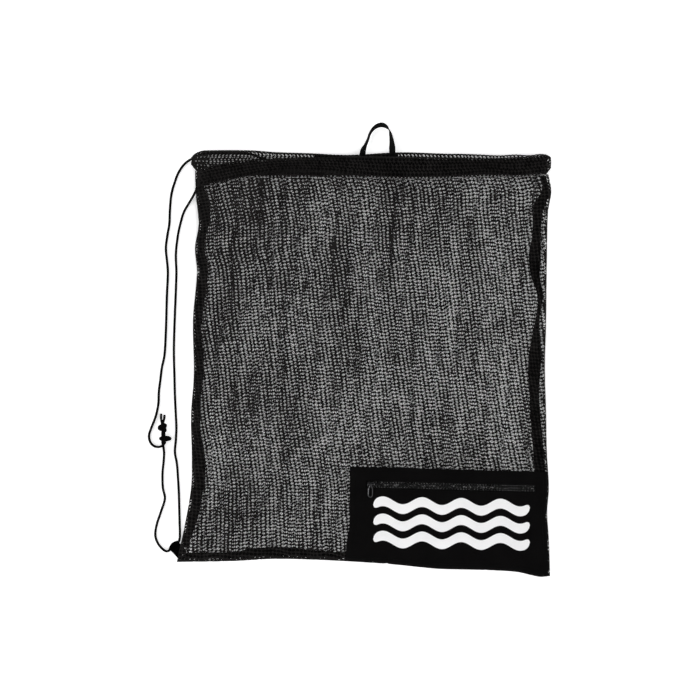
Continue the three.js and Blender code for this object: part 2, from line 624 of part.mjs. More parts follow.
function zipSlider() {
  const lowerTop = -TAPE_WALL - GAP;
  const postX = -SLIDER.length / 2 + SLIDER.postLength / 2;
  const postHeight = SLIDER_TOP + SLIDER.plate - lowerTop;
  const postMiddle = lowerTop - SLIDER.lowerPlate / 2 + postHeight / 2;
  const legHeight = CROWN.barRise + CROWN.barRadius;
  const legs = [-1, 1].map((side) => boxAt(side * (CROWN.span - CROWN.legLength) / 2, 0,
    SLIDER_TOP + SLIDER.plate / 2 + (legHeight + SLIDER.plate / 2) / 2, CROWN.legLength, CROWN.legWidth,
    legHeight + SLIDER.plate / 2));
  const bar = new THREE.CylinderGeometry(CROWN.barRadius, CROWN.barRadius, CROWN.span - CROWN.legLength, 12);
  bar.rotateZ(Math.PI / 2).translate(0, 0, CROWN_HEIGHT);
  return joined([
    boxAt(0, 0, SLIDER_TOP + SLIDER.plate / 2, SLIDER.length, SLIDER.width, SLIDER.plate),
    boxAt(0, 0, lowerTop - SLIDER.lowerPlate / 2, SLIDER.length, SLIDER.width, SLIDER.lowerPlate),
    boxAt(postX, 0, postMiddle, SLIDER.postLength, SLIDER.postWidth, postHeight),
    ...legs, bar,
  ]);
}

// Pull: an eye on the crown bar and a flat tongue towards -Y
function zipPull() {
  const tongue = new THREE.Shape();
  tongue.moveTo(-PULL.neck / 2, 0);
  tongue.lineTo(-PULL.width / 2, -PULL.shoulder);
  tongue.lineTo(-PULL.width / 2, -PULL.length + PULL.width / 2);
  tongue.absarc(0, -PULL.length + PULL.width / 2, PULL.width / 2, Math.PI, 2 * Math.PI, false);
  tongue.lineTo(PULL.width / 2, -PULL.shoulder);
  tongue.lineTo(PULL.neck / 2, 0);
  const flat = { depth: PULL.wall, bevelEnabled: false, curveSegments: 8 };
  const plate = new THREE.ExtrudeGeometry(tongue, flat);
  plate.translate(0, 0, -PULL.wall / 2);
  const round = (radius, length) => solidOf(
    new THREE.CylinderGeometry(radius, radius, length, PULL_EYE.segments).rotateZ(Math.PI / 2));
  const eye = round(PULL_EYE.outer, PULL_EYE.width);
  const bore = round(PULL_EYE.inner, 2 * PULL.width);
  return geometryOf(solidOf(plate).add(eye).subtract(bore));
}

// Corner tab: tape folded round the cord, its two layers sewn into the corner between the panels
function cornerTab() {
  const eyeRadius = CORD_RADIUS + GAP;
  const outer = eyeRadius + TAB.wall;
  const outline = new THREE.Shape();
  outline.moveTo(-TAB.length, SEAM_HEIGHT);
  outline.lineTo(-TAB.flatFrom, SEAM_HEIGHT);
  outline.absarc(-outer, outer, outer, -Math.PI / 2, Math.PI / 2, false);
  outline.lineTo(-TAB.flatFrom, SEAM_HEIGHT + 2 * TAB.wall);
  outline.lineTo(-TAB.length, SEAM_HEIGHT + 2 * TAB.wall);
  const eye = new THREE.Path();
  eye.absarc(-outer, outer, eyeRadius, 0, 2 * Math.PI, true);
  outline.holes.push(eye);
  const extrusion = { depth: TAB.width, bevelEnabled: false, curveSegments: TAB.eyeSegments };
  const geometry = new THREE.ExtrudeGeometry(outline, extrusion);
  geometry.translate(0, 0, -TAB.width / 2);
  const fold = new THREE.Vector3(Math.cos(radians(TAB_FOLD.turn)), Math.sin(radians(TAB_FOLD.turn)), 0);
  const up = new THREE.Vector3(0, 0, 1);
  const outward = new THREE.Vector3().crossVectors(up, fold);
  geometry.applyMatrix4(new THREE.Matrix4().makeBasis(outward, up, fold));
  return geometry.translate(TAB_FOLD.x, TAB_FOLD.y, 0);
}

// Curve whose steps follow its route points, so close points give short steps
class RouteCurve extends THREE.CatmullRomCurve3 {
  getPointAt(share, target) {
    return this.getPoint(share, target);
  }

  getTangentAt(share, target) {
    return this.getTangent(share, target);
  }
}

// Round cord along a route, with a number of steps between neighbouring route points
function cordAlong(route, { between = 1, radius = CORD_RADIUS } = {}) {
  const points = route.map(([x, y, z = CORD_LYING]) => new THREE.Vector3(x, y, z));
  const path = new RouteCurve(points, false, 'centripetal');
  const corners = Array.from({ length: CORD_SIDES }, (_, k) => {
    const angle = (2 * Math.PI * (k + 0.5)) / CORD_SIDES;
    return new THREE.Vector2(radius * Math.cos(angle), radius * Math.sin(angle));
  });
  return new THREE.ExtrudeGeometry(new THREE.Shape(corners), {
    steps: between * (route.length - 1), extrudePath: path, bevelEnabled: false,
  });
}

// Stretch of cord inside the casing: along the back, round the fold and along the front
function casingCord() {
  const backHeight = NET_WALL + GAP + TAPE_WALL + GAP + CORD_RADIUS;
  const frontRise = NET_WALL + GAP + CORD_RADIUS;
  const back = CASING_CORD_BACK.map(([x, y]) => [x, y, backHeight]);
  const front = CASING_CORD_FRONT.map(([x, y]) => [x, y, frontCasingFloor(x) + frontRise]);
  const bottom = back.at(-1);
  const top = front[0];
  const radius = (top[2] - bottom[2]) / 2;
  const turn = stations(0, 1, 0.25).slice(1, -1).map((share) => [
    CASING_RIGHT + radius * Math.sin(Math.PI * share),
    bottom[1],
    bottom[2] + radius * (1 - Math.cos(Math.PI * share)),
  ]);
  return cordAlong([...back, ...turn, ...front], { between: 2 });
}

// Knot of three crossed turns of cord
function knotTurns({ x, y, z, turnRadius }) {
  const turn = () => new THREE.TorusGeometry(turnRadius, KNOT_TUBE, KNOT_TUBE_SEGMENTS, KNOT_TURN_SEGMENTS);
  return [0, 1, 2].map((k) => turn().rotateX(radians(KNOT_TILT)).rotateZ(k * Math.PI / 3).translate(x, y, z));
}

addPiece('back_panel', backPanel(), MATERIALS.net);
addPiece('front_panel', sheetOver(panelGrid(PANEL_U, PANEL_V), frontUnderside, NET_WALL), MATERIALS.net);
addPiece('back_casing', backCasing(), MATERIALS.net);
addPiece('front_casing', frontCasing(), MATERIALS.net);

const backBandLow = (x) => backLow(x) + BAND_MARGIN;
const frontBandRise = CASING_DEPTH - NET_WALL - GAP - TAPE_WALL;
const backBandHigh = (x) => backBandLow(x) + BACK_BAND_WIDTH;
addPiece('back_band', casingBand(BACK_BAND_LEFT, TURN_START, backBandLow, backBandHigh, () => SEAM_HEIGHT),
  MATERIALS.tape);
addPiece('front_band', casingBand(FRONT_CASING_LEFT, CASING_RIGHT, (x) => frontLow(x) + BAND_MARGIN,
  (x) => frontHigh(x) - BAND_MARGIN, (x) => frontCasingFloor(x) + frontBandRise), MATERIALS.tape);

addPiece('binding_left', sideBinding(BINDING_LEFT, leftEdge, 1), MATERIALS.tape);
addPiece('binding_right', sideBinding(BINDING_RIGHT, rightEdge, -1), MATERIALS.tape);
addPiece('binding_bottom', bottomBinding(), MATERIALS.tape);
addPiece('hang_loop', hangLoop(), MATERIALS.tape);

addPiece('pocket_panel', pocketPanel(), MATERIALS.pocket);
addPiece('zip_tape', zipTape(), MATERIALS.tape);
const chainFloor = (x, y) => zipTapeTop(x, y) + GAP;
addPiece('zip_chain', zipStrip(SLIDER.along, zipLength - 2 * GAP, CHAIN_WIDTH, chainFloor, CHAIN_HEIGHT),
  MATERIALS.zip);

const sliderPlace = zipPlace(SLIDER.along, 0);
const slider = new THREE.Group();
slider.position.set(sliderPlace.x, sliderPlace.y, zipTapeTop(sliderPlace.x, sliderPlace.y));
slider.rotation.z = zipTurn;
bag.add(slider);
addPiece('zip_slider', zipSlider(), MATERIALS.metal, slider);
const pull = addPiece('zip_pull', zipPull(), MATERIALS.metal, slider);
pull.position.z = CROWN_HEIGHT;
pull.rotation.x = radians(PULL.droop);

addPiece('corner_tab', cornerTab(), MATERIALS.tape);
addPiece('casing_cord', casingCord(), MATERIALS.cord);
addPiece('cord_outer', cordAlong(CORD_OUTER), MATERIALS.cord);
addPiece('cord_inner', cordAlong(CORD_INNER), MATERIALS.cord);
addPiece('cord_lower', cordAlong(CORD_LOWER), MATERIALS.cord);
const knotStrand = (route) => cordAlong(route, { radius: KNOT_TUBE });
const upperStrands = KNOT_TAILS.map(knotStrand);
const lowerStrands = [...KNOT_NECKS, KNOT_STUB].map(knotStrand);
addPiece('knot_upper', joined([...knotTurns(KNOT_UPPER), ...upperStrands]), MATERIALS.cord);
addPiece('knot_lower', joined([...knotTurns(KNOT_LOWER), ...lowerStrands]), MATERIALS.cord);

export default bag;
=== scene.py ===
# %% [markdown]
# # A drawstring mesh bag, laid flat
# A net bag for wet swim gear lies on its back with its mouth at the top and a zipped pocket facing up.
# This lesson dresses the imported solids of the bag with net, tape, cord, cloth and a zip. The solids are
# loaded first and are never moved. They are the frame, in metres, and each piece is built where its
# solid is. Sizes of the bag are in millimetres here, and become metres when a mesh is made.

# %% Load the solids
import json
import math

import bmesh
import bpy
import numpy as np
from mathutils import Matrix, Vector


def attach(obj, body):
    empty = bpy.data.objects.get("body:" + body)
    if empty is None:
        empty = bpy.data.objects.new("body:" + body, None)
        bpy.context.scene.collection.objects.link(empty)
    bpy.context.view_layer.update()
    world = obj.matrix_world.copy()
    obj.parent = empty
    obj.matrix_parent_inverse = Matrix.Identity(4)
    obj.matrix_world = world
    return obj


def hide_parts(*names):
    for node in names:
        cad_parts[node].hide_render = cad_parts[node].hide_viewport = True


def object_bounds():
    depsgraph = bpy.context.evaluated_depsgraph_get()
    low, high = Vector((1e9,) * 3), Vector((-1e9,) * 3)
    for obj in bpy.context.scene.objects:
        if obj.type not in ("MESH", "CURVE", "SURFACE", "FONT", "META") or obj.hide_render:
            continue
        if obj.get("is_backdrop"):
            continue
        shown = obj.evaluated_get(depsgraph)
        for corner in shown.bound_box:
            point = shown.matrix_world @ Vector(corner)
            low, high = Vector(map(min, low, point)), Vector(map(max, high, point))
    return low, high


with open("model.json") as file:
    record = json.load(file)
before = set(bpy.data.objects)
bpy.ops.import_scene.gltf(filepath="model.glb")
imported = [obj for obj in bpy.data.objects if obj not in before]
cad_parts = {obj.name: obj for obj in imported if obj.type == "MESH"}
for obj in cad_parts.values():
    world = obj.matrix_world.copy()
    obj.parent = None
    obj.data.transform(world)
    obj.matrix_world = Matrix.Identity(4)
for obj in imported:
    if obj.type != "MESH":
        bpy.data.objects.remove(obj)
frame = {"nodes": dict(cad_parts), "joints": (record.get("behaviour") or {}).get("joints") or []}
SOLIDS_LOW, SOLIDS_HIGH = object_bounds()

MM = 0.001
scene = bpy.context.scene


def box_sides(low, high):
    """The sides of a box in millimetres, rounded to be printed."""
    return [round(v / MM, 1) for v in high - low]


print("solids:", len(frame["nodes"]), "nodes, box in mm", box_sides(SOLIDS_LOW, SOLIDS_HIGH))

# %% [markdown]
# ## The camera
# The photo looks straight down with the mouth at the top. A new Blender camera already looks down -Z with
# +Y up in the picture, so it only has to be lifted. A long lens from 3 m keeps the view almost parallel,
# as in the photo, where neither the near nor the far edges of the bag splay. The lens follows from the
# width of floor that the picture takes in, so the framing can be changed in millimetres.

# %% Camera
PHOTO_SPAN = 1225
CAMERA_HEIGHT = 3000
AIM = (-18.4, -1.75)
SENSOR_WIDTH = 36


def add_object(name, data):
    """An object with its data, linked into the scene."""
    thing = bpy.data.objects.new(name, data)
    scene.collection.objects.link(thing)
    return thing


camera_data = bpy.data.cameras.new("overhead_camera")
camera_data.sensor_width = SENSOR_WIDTH
camera_data.lens = SENSOR_WIDTH * CAMERA_HEIGHT / PHOTO_SPAN
camera = add_object("overhead_camera", camera_data)
camera.location = (AIM[0] * MM, AIM[1] * MM, CAMERA_HEIGHT * MM)
scene.camera = camera
print("camera lens in mm:", round(camera_data.lens, 1))

# %% [markdown]
# ## Helpers for shader nodes
# Every finish on this bag is made of nodes, and wiring nodes by hand in Python is long. A few helpers keep
# it readable: one adds a node with its inputs given as numbers or as sockets to join, and others add a
# sum, a noise or a change of range. Shared effects are node groups, so a change to the yarn or the weave
# reaches every cloth at once.

# %% Nodes and sums
def add_node(tree, kind, inputs=(), **settings):
    """A node with its settings, and inputs given as values or as sockets to join."""
    node = tree.nodes.new(kind)
    for name, value in settings.items():
        setattr(node, name, value)
    for name, value in dict(inputs).items():
        if isinstance(value, bpy.types.NodeSocket):
            tree.links.new(value, node.inputs[name])
        else:
            node.inputs[name].default_value = value
    return node


def calc(tree, operation, *values):
    """The result of one sum on numbers or sockets."""
    node = add_node(tree, "ShaderNodeMath", dict(enumerate(values)), operation=operation)
    return node.outputs[0]


def noise(tree, place, scale, detail):
    """Soft noise over places, which keeps near one half."""
    node = add_node(tree, "ShaderNodeTexNoise", {"Vector": place, "Scale": scale, "Detail": detail})
    return node.outputs["Fac"]


def map_range(tree, value, low, high, to_low=0.0, to_high=1.0):
    """A value carried from one range to another, and held at the ends."""
    ends = {"From Min": low, "From Max": high, "To Min": to_low, "To Max": to_high}
    node = add_node(tree, "ShaderNodeMapRange", {"Value": value, **ends})
    return node.outputs["Result"]


# %% Empty node groups
def new_group(name, inputs, outputs):
    """An empty shader group with named sockets, with its inner input and output sockets."""
    group = bpy.data.node_groups.new(name, "ShaderNodeTree")
    for label, kind, value in inputs:
        socket = group.interface.new_socket(label, in_out="INPUT", socket_type=kind)
        if value is not None:
            socket.default_value = value
    for label, kind in outputs:
        group.interface.new_socket(label, in_out="OUTPUT", socket_type=kind)
    entry = group.nodes.new("NodeGroupInput").outputs
    result = group.nodes.new("NodeGroupOutput").inputs
    return group, entry, result


# %% [markdown]
# ## Yarn tone and lint
# Black cloth is never one black. Dye takes unevenly from yarn to yarn, the surface is rougher in some
# places, and pale lint clings to it. One group gives both as masks: soft patches some centimetres wide
# mixed with a finer grain, and rare specks where a noise passes a high threshold. All the cloths read it
# with their own coordinates in millimetres, which each mesh carries as a UV map.

# %% Yarn tone group
PATCH_SCALE, PATCH_SHARE = 0.03, 0.45
SPECK_SCALE, SPECK_LEVELS = 0.55, (0.7, 0.78)
yarn_tone, tone_in, tone_out = new_group(
    "Yarn tone",
    [("Place", "NodeSocketVector", None), ("Grain", "NodeSocketFloat", 2.0)],
    [("Tone", "NodeSocketFloat"), ("Lint", "NodeSocketFloat")],
)
patches = noise(yarn_tone, tone_in["Place"], PATCH_SCALE, detail=3.0)
grain = noise(yarn_tone, tone_in["Place"], tone_in["Grain"], detail=2.0)
mixed = calc(yarn_tone, "ADD", calc(yarn_tone, "MULTIPLY", patches, PATCH_SHARE),
             calc(yarn_tone, "MULTIPLY", grain, 1 - PATCH_SHARE))
yarn_tone.links.new(mixed, tone_out["Tone"])
specks = noise(yarn_tone, tone_in["Place"], SPECK_SCALE, detail=4.0)
yarn_tone.links.new(map_range(yarn_tone, specks, *SPECK_LEVELS), tone_out["Lint"])
print("group:", yarn_tone.name, len(yarn_tone.nodes), "nodes")

# %% [markdown]
# ## Crossing threads
# Tape, ribbon and pocket cloth are woven. In a weave, a thread going one way shows where it passes over a
# thread going the other way. The group takes the round backs of both sets of threads and picks between
# them with a chequer for plain weave, or with a slanted stripe for twill. Slant chooses between the two.
# A picture of a weave would blur up close and repeat, while these sums stay sharp at any distance.

# %% Crossing threads group
threads, cross_in, cross_out = new_group(
    "Crossing threads",
    [
        ("Place", "NodeSocketVector", None),
        ("Thread", "NodeSocketFloat", 0.5),
        ("Slant", "NodeSocketFloat", 0.0),
    ],
    [("Height", "NodeSocketFloat")],
)


def pick(share, first, second):
    """A value between two others, inside the group."""
    node = add_node(threads, "ShaderNodeMix", {"Factor": share, "A": first, "B": second}, data_type="FLOAT")
    return node.outputs["Result"]


spread = add_node(threads, "ShaderNodeSeparateXYZ", {"Vector": cross_in["Place"]})
turns = [
    calc(threads, "MULTIPLY", calc(threads, "DIVIDE", spread.outputs[k], cross_in["Thread"]), math.pi)
    for k in (0, 1)
]
backs = [calc(threads, "ABSOLUTE", calc(threads, "SINE", turn)) for turn in turns]
chequer = calc(threads, "MULTIPLY", *[calc(threads, "COSINE", turn) for turn in turns])
stripe = calc(threads, "COSINE", calc(threads, "MULTIPLY", calc(threads, "ADD", *turns), 0.5))
over = calc(threads, "MULTIPLY_ADD", pick(cross_in["Slant"], chequer, stripe), 0.5, 0.5)
threads.links.new(pick(over, *backs), cross_out["Height"])
print("group:", threads.name, len(threads.nodes), "nodes")

# %% [markdown]
# ## Black cloth finishes
# One recipe serves every cloth on the bag: a dark and a lighter black blended by yarn tone and by a painted
# shade that darkens the hollows of the weave, where the threads dip, a little pale lint, roughness that
# follows the tone, and the weave as bump. Matt black yarn hardly mirrors the room, so the specular level is
# kept low. What differs between net, tape, pocket cloth and print is only the values, which makes them easy
# to compare side by side.

# %% Steps that every finish shares
def new_finish(name, roughness, specular, metallic=0.0):
    """A material with its plain values set, its node tree and its shader."""
    finish = bpy.data.materials.new(name)
    finish.use_nodes = True
    shader = finish.node_tree.nodes["Principled BSDF"]
    shader.inputs["Roughness"].default_value = roughness
    shader.inputs["Specular IOR Level"].default_value = specular
    shader.inputs["Metallic"].default_value = metallic
    return finish, finish.node_tree, shader


def grey(level):
    """A colour without a hue."""
    return (level, level, level)


def shaded_colour(tree, share, dark, light, stops=(0.2, 0.8)):
    """A colour that goes from dark to light as a share rises between two stops."""
    ramp = add_node(tree, "ShaderNodeValToRGB", {"Fac": share})
    for stop, place, colour in zip(ramp.color_ramp.elements, stops, (dark, light)):
        stop.position = place
        stop.color = (*colour, 1)
    return ramp.outputs["Color"]


def blend_colour(tree, share, under, top):
    """One colour laid over another by a mask; the sockets 6 and 7 are the node's two colours."""
    node = add_node(tree, "ShaderNodeMix", {0: share, 6: under, 7: top}, data_type="RGBA")
    return node.outputs[2]


def set_roughness(tree, shader, tone, rough):
    """Roughness between two values that follows a tone."""
    tree.links.new(map_range(tree, tone, 0.0, 1.0, *rough), shader.inputs["Roughness"])


def set_bump(tree, shader, height, strength, relief):
    """Bump from a height of 0 to 1 that stands for a relief in millimetres."""
    depth = relief * MM
    node = add_node(tree, "ShaderNodeBump", {"Height": height, "Strength": strength, "Distance": depth})
    tree.links.new(node.outputs["Normal"], shader.inputs["Normal"])


# %% Recipe for black cloth
LINT_COLOUR = (0.45, 0.44, 0.42, 1)
# Painted shade in the weave: the colour is scaled by the thread height times WEAVE_CONTRAST plus WEAVE_BASE.
WEAVE_CONTRAST, WEAVE_BASE = 0.8, 0.6
WEAVE_BUMP = 0.7


def cloth_finish(name, dark, light, thread, slant, relief, grain=1.5, stops=(0.2, 0.8), lint=0.1,
                 rough=(0.75, 0.95), specular=0.1):
    """A cloth woven from threads of one width, in millimetres, between a dark and a lighter colour."""
    finish, tree, shader = new_finish(name, rough[1], specular)
    laid = add_node(tree, "ShaderNodeUVMap", uv_map="laid").outputs["UV"]
    tone = add_node(tree, "ShaderNodeGroup", {"Place": laid, "Grain": grain}, node_tree=yarn_tone)
    weave = add_node(
        tree, "ShaderNodeGroup", {"Place": laid, "Thread": thread, "Slant": slant}, node_tree=threads
    )
    # Painted shade: the colour darkens where the weave's threads dip, on top of the yarn's own random tone.
    shade = calc(tree, "MULTIPLY", tone.outputs["Tone"],
                 calc(tree, "MULTIPLY_ADD", weave.outputs["Height"], WEAVE_CONTRAST, WEAVE_BASE))
    dyed = shaded_colour(tree, shade, dark, light, stops)
    dusted = blend_colour(tree, calc(tree, "MULTIPLY", tone.outputs["Lint"], lint), dyed, LINT_COLOUR)
    tree.links.new(dusted, shader.inputs["Base Color"])
    set_roughness(tree, shader, tone.outputs["Tone"], rough)
    set_bump(tree, shader, weave.outputs["Height"], WEAVE_BUMP, relief)
    return finish


# %% Cloth finishes
net_finish = cloth_finish(
    "black_net_yarn", (0.0014, 0.0013, 0.0013), (0.0205, 0.0190, 0.0186),
    thread=0.45, slant=0.6, relief=0.15, grain=0.45, stops=(0.34, 0.66), specular=0.03,
)
tape_finish = cloth_finish(
    "black_twill_tape", grey(0.0002), grey(0.0012), thread=0.6, slant=1.0, relief=0.2, specular=0.004,
)
ribbon_finish = cloth_finish(
    "black_ribbon", (0.0016, 0.0016, 0.0017), (0.0067, 0.0067, 0.0068),
    thread=0.8, slant=0.0, relief=0.3, specular=0.04,
)
pocket_finish = cloth_finish(
    "black_pocket_cloth", (0.0018, 0.0017, 0.0018), (0.0049, 0.0046, 0.0047),
    thread=0.4, slant=0.0, relief=0.1, lint=0.02, specular=0.012,
)
thread_finish = cloth_finish(
    "black_sewing_thread", grey(0.0016), (0.0065, 0.0065, 0.0066),
    thread=0.25, slant=1.0, relief=0.05, specular=0.04,
)
print("cloth finishes:", [m.name for m in bpy.data.materials if m.name.startswith("black")])

# %% [markdown]
# ## Building a piece from blocks of faces
# Most pieces are grids of points worked out with NumPy, in millimetres as a maker would measure them. A
# block is a set of points, its faces and the coordinates of each face corner on the flat cloth. One helper
# turns blocks into a mesh in metres, hangs it on its body and hides the solid it stands for.

# %% Grids and pieces
def grid_quads(rows, columns, closed=False):
    """Faces of a grid of points, and the row and column of each face corner."""
    j, i = np.meshgrid(np.arange(rows - 1), np.arange(columns if closed else columns - 1), indexing="ij")
    corners = np.stack([np.stack([j + dj, i + di], -1) for dj, di in ((0, 0), (0, 1), (1, 1), (1, 0))], -2)
    corners = corners.reshape(-1, 4, 2)
    return corners[..., 0] * columns + corners[..., 1] % columns, corners


def sheet_block(grid, laid):
    """A block from a grid of points, with a flat place for each point."""
    rows, columns = grid.shape[:2]
    faces, _ = grid_quads(rows, columns)
    return grid.reshape(-1, 3), faces, laid.reshape(-1, 2)[faces]


def make_piece(name, blocks, finish, stands_for=(), body="bag"):
    """One piece of the bag from blocks of faces, riding on a body of the frame."""
    starts = np.cumsum([0] + [len(points) for points, _, _ in blocks])
    faces = []
    for block, start in zip(blocks, starts):
        faces.extend((np.asarray(block[1]) + start).tolist())
    mesh = bpy.data.meshes.new(name)
    mesh.from_pydata((np.vstack([points for points, _, _ in blocks]) * MM).tolist(), [], faces)
    laid = np.concatenate([np.asarray(flat, np.float32).reshape(-1, 2) for _, _, flat in blocks])
    mesh.uv_layers.new(name="laid").data.foreach_set("uv", laid.ravel())
    mesh.shade_smooth()
    mesh.materials.append(finish)
    piece = add_object(name, mesh)
    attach(piece, body)
    if stands_for:
        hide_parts(*stands_for)
    print("piece:", name, sum(len(face) - 2 for face in faces), "triangles")
    return piece


# %% [markdown]
# ## Cord finish
# The drawcord is a braid: strands wind round it both ways and pass over and under each other, which leaves
# rows of small lozenges. Two slanted waves multiplied give that pattern, both as bump and as a painted shade
# that darkens the grooves between the lozenges. Along and around the cord are the two coordinates of its UV
# map, so the braid follows every bend of the cord.

# %% Cord finish
CORD_DIAMETER = 4.5
BRAID_PITCH = 5.0
BRAID_STRANDS = 8
BRAID_SHADE, TONE_SHADE = 0.5, 0.6
CORD_LINT = 0.12
cord_finish, tree, shader = new_finish("black_braided_cord", roughness=0.7, specular=0.02)
laid = add_node(tree, "ShaderNodeUVMap", uv_map="laid").outputs["UV"]
split = add_node(tree, "ShaderNodeSeparateXYZ", {"Vector": laid})
along = calc(tree, "MULTIPLY", split.outputs["X"], 2 * math.pi / BRAID_PITCH)
around = calc(tree, "MULTIPLY", split.outputs["Y"], BRAID_STRANDS / CORD_DIAMETER)
strands = calc(tree, "MULTIPLY", calc(tree, "SINE", calc(tree, "ADD", around, along)),
               calc(tree, "SINE", calc(tree, "SUBTRACT", around, along)))
lozenge = calc(tree, "MULTIPLY_ADD", strands, 0.5, 0.5)
tone = add_node(tree, "ShaderNodeGroup", {"Place": laid, "Grain": 1.5}, node_tree=yarn_tone)
toned = calc(tree, "MULTIPLY", tone.outputs["Tone"], TONE_SHADE)
# Painted shade: the colour darkens in the grooves between the braid's lozenges, on top of the yarn's random
# tone.
shade = calc(tree, "MULTIPLY_ADD", lozenge, BRAID_SHADE, toned)
dyed = shaded_colour(tree, shade, grey(0.0007), grey(0.0038))
lint_share = calc(tree, "MULTIPLY", tone.outputs["Lint"], CORD_LINT)
tree.links.new(blend_colour(tree, lint_share, dyed, LINT_COLOUR), shader.inputs["Base Color"])
set_roughness(tree, shader, tone.outputs["Tone"], (0.55, 0.85))
set_bump(tree, shader, lozenge, strength=0.8, relief=0.35)
print("finish:", cord_finish.name, len(tree.nodes), "nodes")

# %% [markdown]
# ## Cord routes
# The cord leaves both ends of the casing at the left, runs down beside the bag, is knotted where its two
# ends meet and passes through a tape tab at the corner. A Blender curve with a bevel would be the quick
# way. A tube with its own rings is used here because its surface can carry the low lumps of the braid, so
# that the edge of the cord isn't a ruled line. A smooth curve is drawn through the points of each route,
# then cut into even steps, and a pair of cross directions is carried along it without twisting.

# %% Smooth lines
def smooth_route(route, per_span=12):
    """Points on the smooth curve that runs through every point of a route."""
    points = np.array(route, float)
    points = np.vstack([2 * points[0] - points[1], points, 2 * points[-1] - points[-2]])
    share = np.linspace(0, 1, per_span, endpoint=False)[:, None]
    spans = []
    for a, b, c, d in zip(points, points[1:], points[2:], points[3:]):
        ab, bc, cd = (max(np.linalg.norm(q - p), 1e-4) ** 0.5 for p, q in ((a, b), (b, c), (c, d)))
        leave = bc * ((b - a) / ab - (c - a) / (ab + bc) + (c - b) / bc)
        arrive = bc * ((c - b) / bc - (d - b) / (bc + cd) + (d - c) / cd)
        bend = b * (1 + 2 * share) * (1 - share) ** 2 + c * (3 - 2 * share) * share**2
        spans.append(bend + leave * share * (1 - share) ** 2 - arrive * (1 - share) * share**2)
    return np.vstack([*spans, points[-2:-1]])


def distances(line):
    """How far along a line each of its points is."""
    return np.r_[0, np.cumsum(np.linalg.norm(np.diff(line, axis=0), axis=1))]


def even_steps(line, spacing):
    """The same line cut into steps of even length."""
    far = distances(line)
    places = np.linspace(0, far[-1], max(int(round(far[-1] / spacing)), 2) + 1)
    return np.stack([np.interp(places, far, line[:, k]) for k in range(3)], 1)


# %% Directions along a line
OFF_LINE = (0.1, 0.2, 1.0)


def carried_frames(line):
    """Two cross directions at each point of a line, carried along it without twisting."""
    ahead = np.gradient(line, axis=0)
    ahead /= np.linalg.norm(ahead, axis=1, keepdims=True)
    side = np.zeros_like(ahead)
    start = np.cross(ahead[0], OFF_LINE)
    side[0] = start / np.linalg.norm(start)
    for i in range(1, len(line)):
        step = side[i - 1] - ahead[i] * (side[i - 1] @ ahead[i])
        side[i] = step / np.linalg.norm(step)
    return ahead, side, np.cross(ahead, side)


# %% Braided tubes
BRAID_RELIEF = 0.12
BRAID_LOBES = 3
CORD_SIDES = 14
TIP_SHARE = 0.4


def braided_tube(line, radius):
    """Blocks for a round cord along a line: its lumpy side and its two sealed ends."""
    ahead, side, up = carried_frames(line)
    far = distances(line)[:, None]
    angle = np.linspace(0, 2 * np.pi, CORD_SIDES, endpoint=False)
    wind = 2 * np.pi * far / BRAID_PITCH
    lumps = np.sin(BRAID_LOBES * angle + wind) * np.sin(BRAID_LOBES * angle - wind)
    reach = radius - BRAID_RELIEF / 2 + BRAID_RELIEF * lumps
    rings = line[:, None] + reach[..., None] * (
        np.cos(angle)[:, None] * side[:, None] + np.sin(angle)[:, None] * up[:, None]
    )
    faces, corners = grid_quads(len(line), CORD_SIDES, closed=True)
    flat = np.stack([far[corners[..., 0], 0], corners[..., 1] * 2 * np.pi * radius / CORD_SIDES], -1)
    blocks = [(rings.reshape(-1, 3), faces, flat)]
    k = np.arange(CORD_SIDES)
    fan = np.stack([k, (k + 1) % CORD_SIDES, np.full(CORD_SIDES, CORD_SIDES)], -1)
    for end, way in ((0, -1), (-1, 1)):
        tip = line[end] + way * TIP_SHARE * radius * ahead[end]
        blocks.append((np.vstack([rings[end], tip]), fan[:, ::way], np.zeros((CORD_SIDES, 3, 2))))
    return blocks


# %% Free stretches of cord
CORD_LYING = 2.3
CORD_STEP = 0.9
CORD_OUTER = [
    (-296.3, 331.6, 4.5), (-304, 326.4, 3.8), (-311, 319.5, 2.9), (-319.4, 306), (-324.6, 292), (-329, 278),
    (-331.6, 264), (-333.4, 240), (-334.3, 219), (-337.8, 198), (-340.4, 177), (-338.6, 156), (-336.9, 135),
    (-338.6, 93), (-340.4, 30), (-343, -12), (-347.4, -33), (-350, -54), (-352.6, -75), (-353.5, -96),
    (-357.9, -117), (-365.8, -138), (-369, -147), (-369.8, -155), (-366.3, -165), (-360.2, -170),
    (-353.5, -171.3, 3.4), (-347.2, -169.4, 6.5), (-343, -166, 6.9), (-340.9, -161.8, 6.8),
]
CORD_INNER = [
    (-285.6, 296.9, 11.8), (-284.3, 291, 11.7), (-284.6, 284.5, 10.9), (-287, 277, 9), (-290.4, 270.3, 6.8),
    (-294.8, 263, 4.7), (-299.8, 255, 3.2), (-309, 239), (-315, 219), (-319.4, 198), (-322.9, 166),
    (-322, 135), (-322.9, 103), (-324.6, 61), (-326.4, -2), (-325.5, -44), (-324.6, -80), (-322.9, -117),
    (-322, -138), (-322.9, -159), (-324.6, -180), (-321.1, -201), (-319.4, -222), (-317.6, -254),
    (-316.8, -285), (-316.2, -306), (-315.8, -322, 2.3), (-316.2, -332, 3), (-318, -337, 3.3),
    (-325.7, -344, 3.3), (-333.2, -350.8, 3.3),
]
CORD_LOWER = [
    (-346.3, -162.3, 4), (-345.8, -166, 2.5), (-345, -170), (-343.6, -180), (-344.1, -194), (-346.2, -217),
    (-345.6, -243), (-342.1, -261), (-349.1, -285), (-356.1, -306), (-358.8, -322), (-357.9, -331),
    (-353.5, -341), (-347, -348.8), (-341, -353.2, 2.6), (-336.9, -353.4, 3.1), (-333.7, -351.3, 3.3),
]


def lying(route):
    """Route points with the height of a cord on the floor where none is given."""
    return [(*point, CORD_LYING)[:3] for point in route]


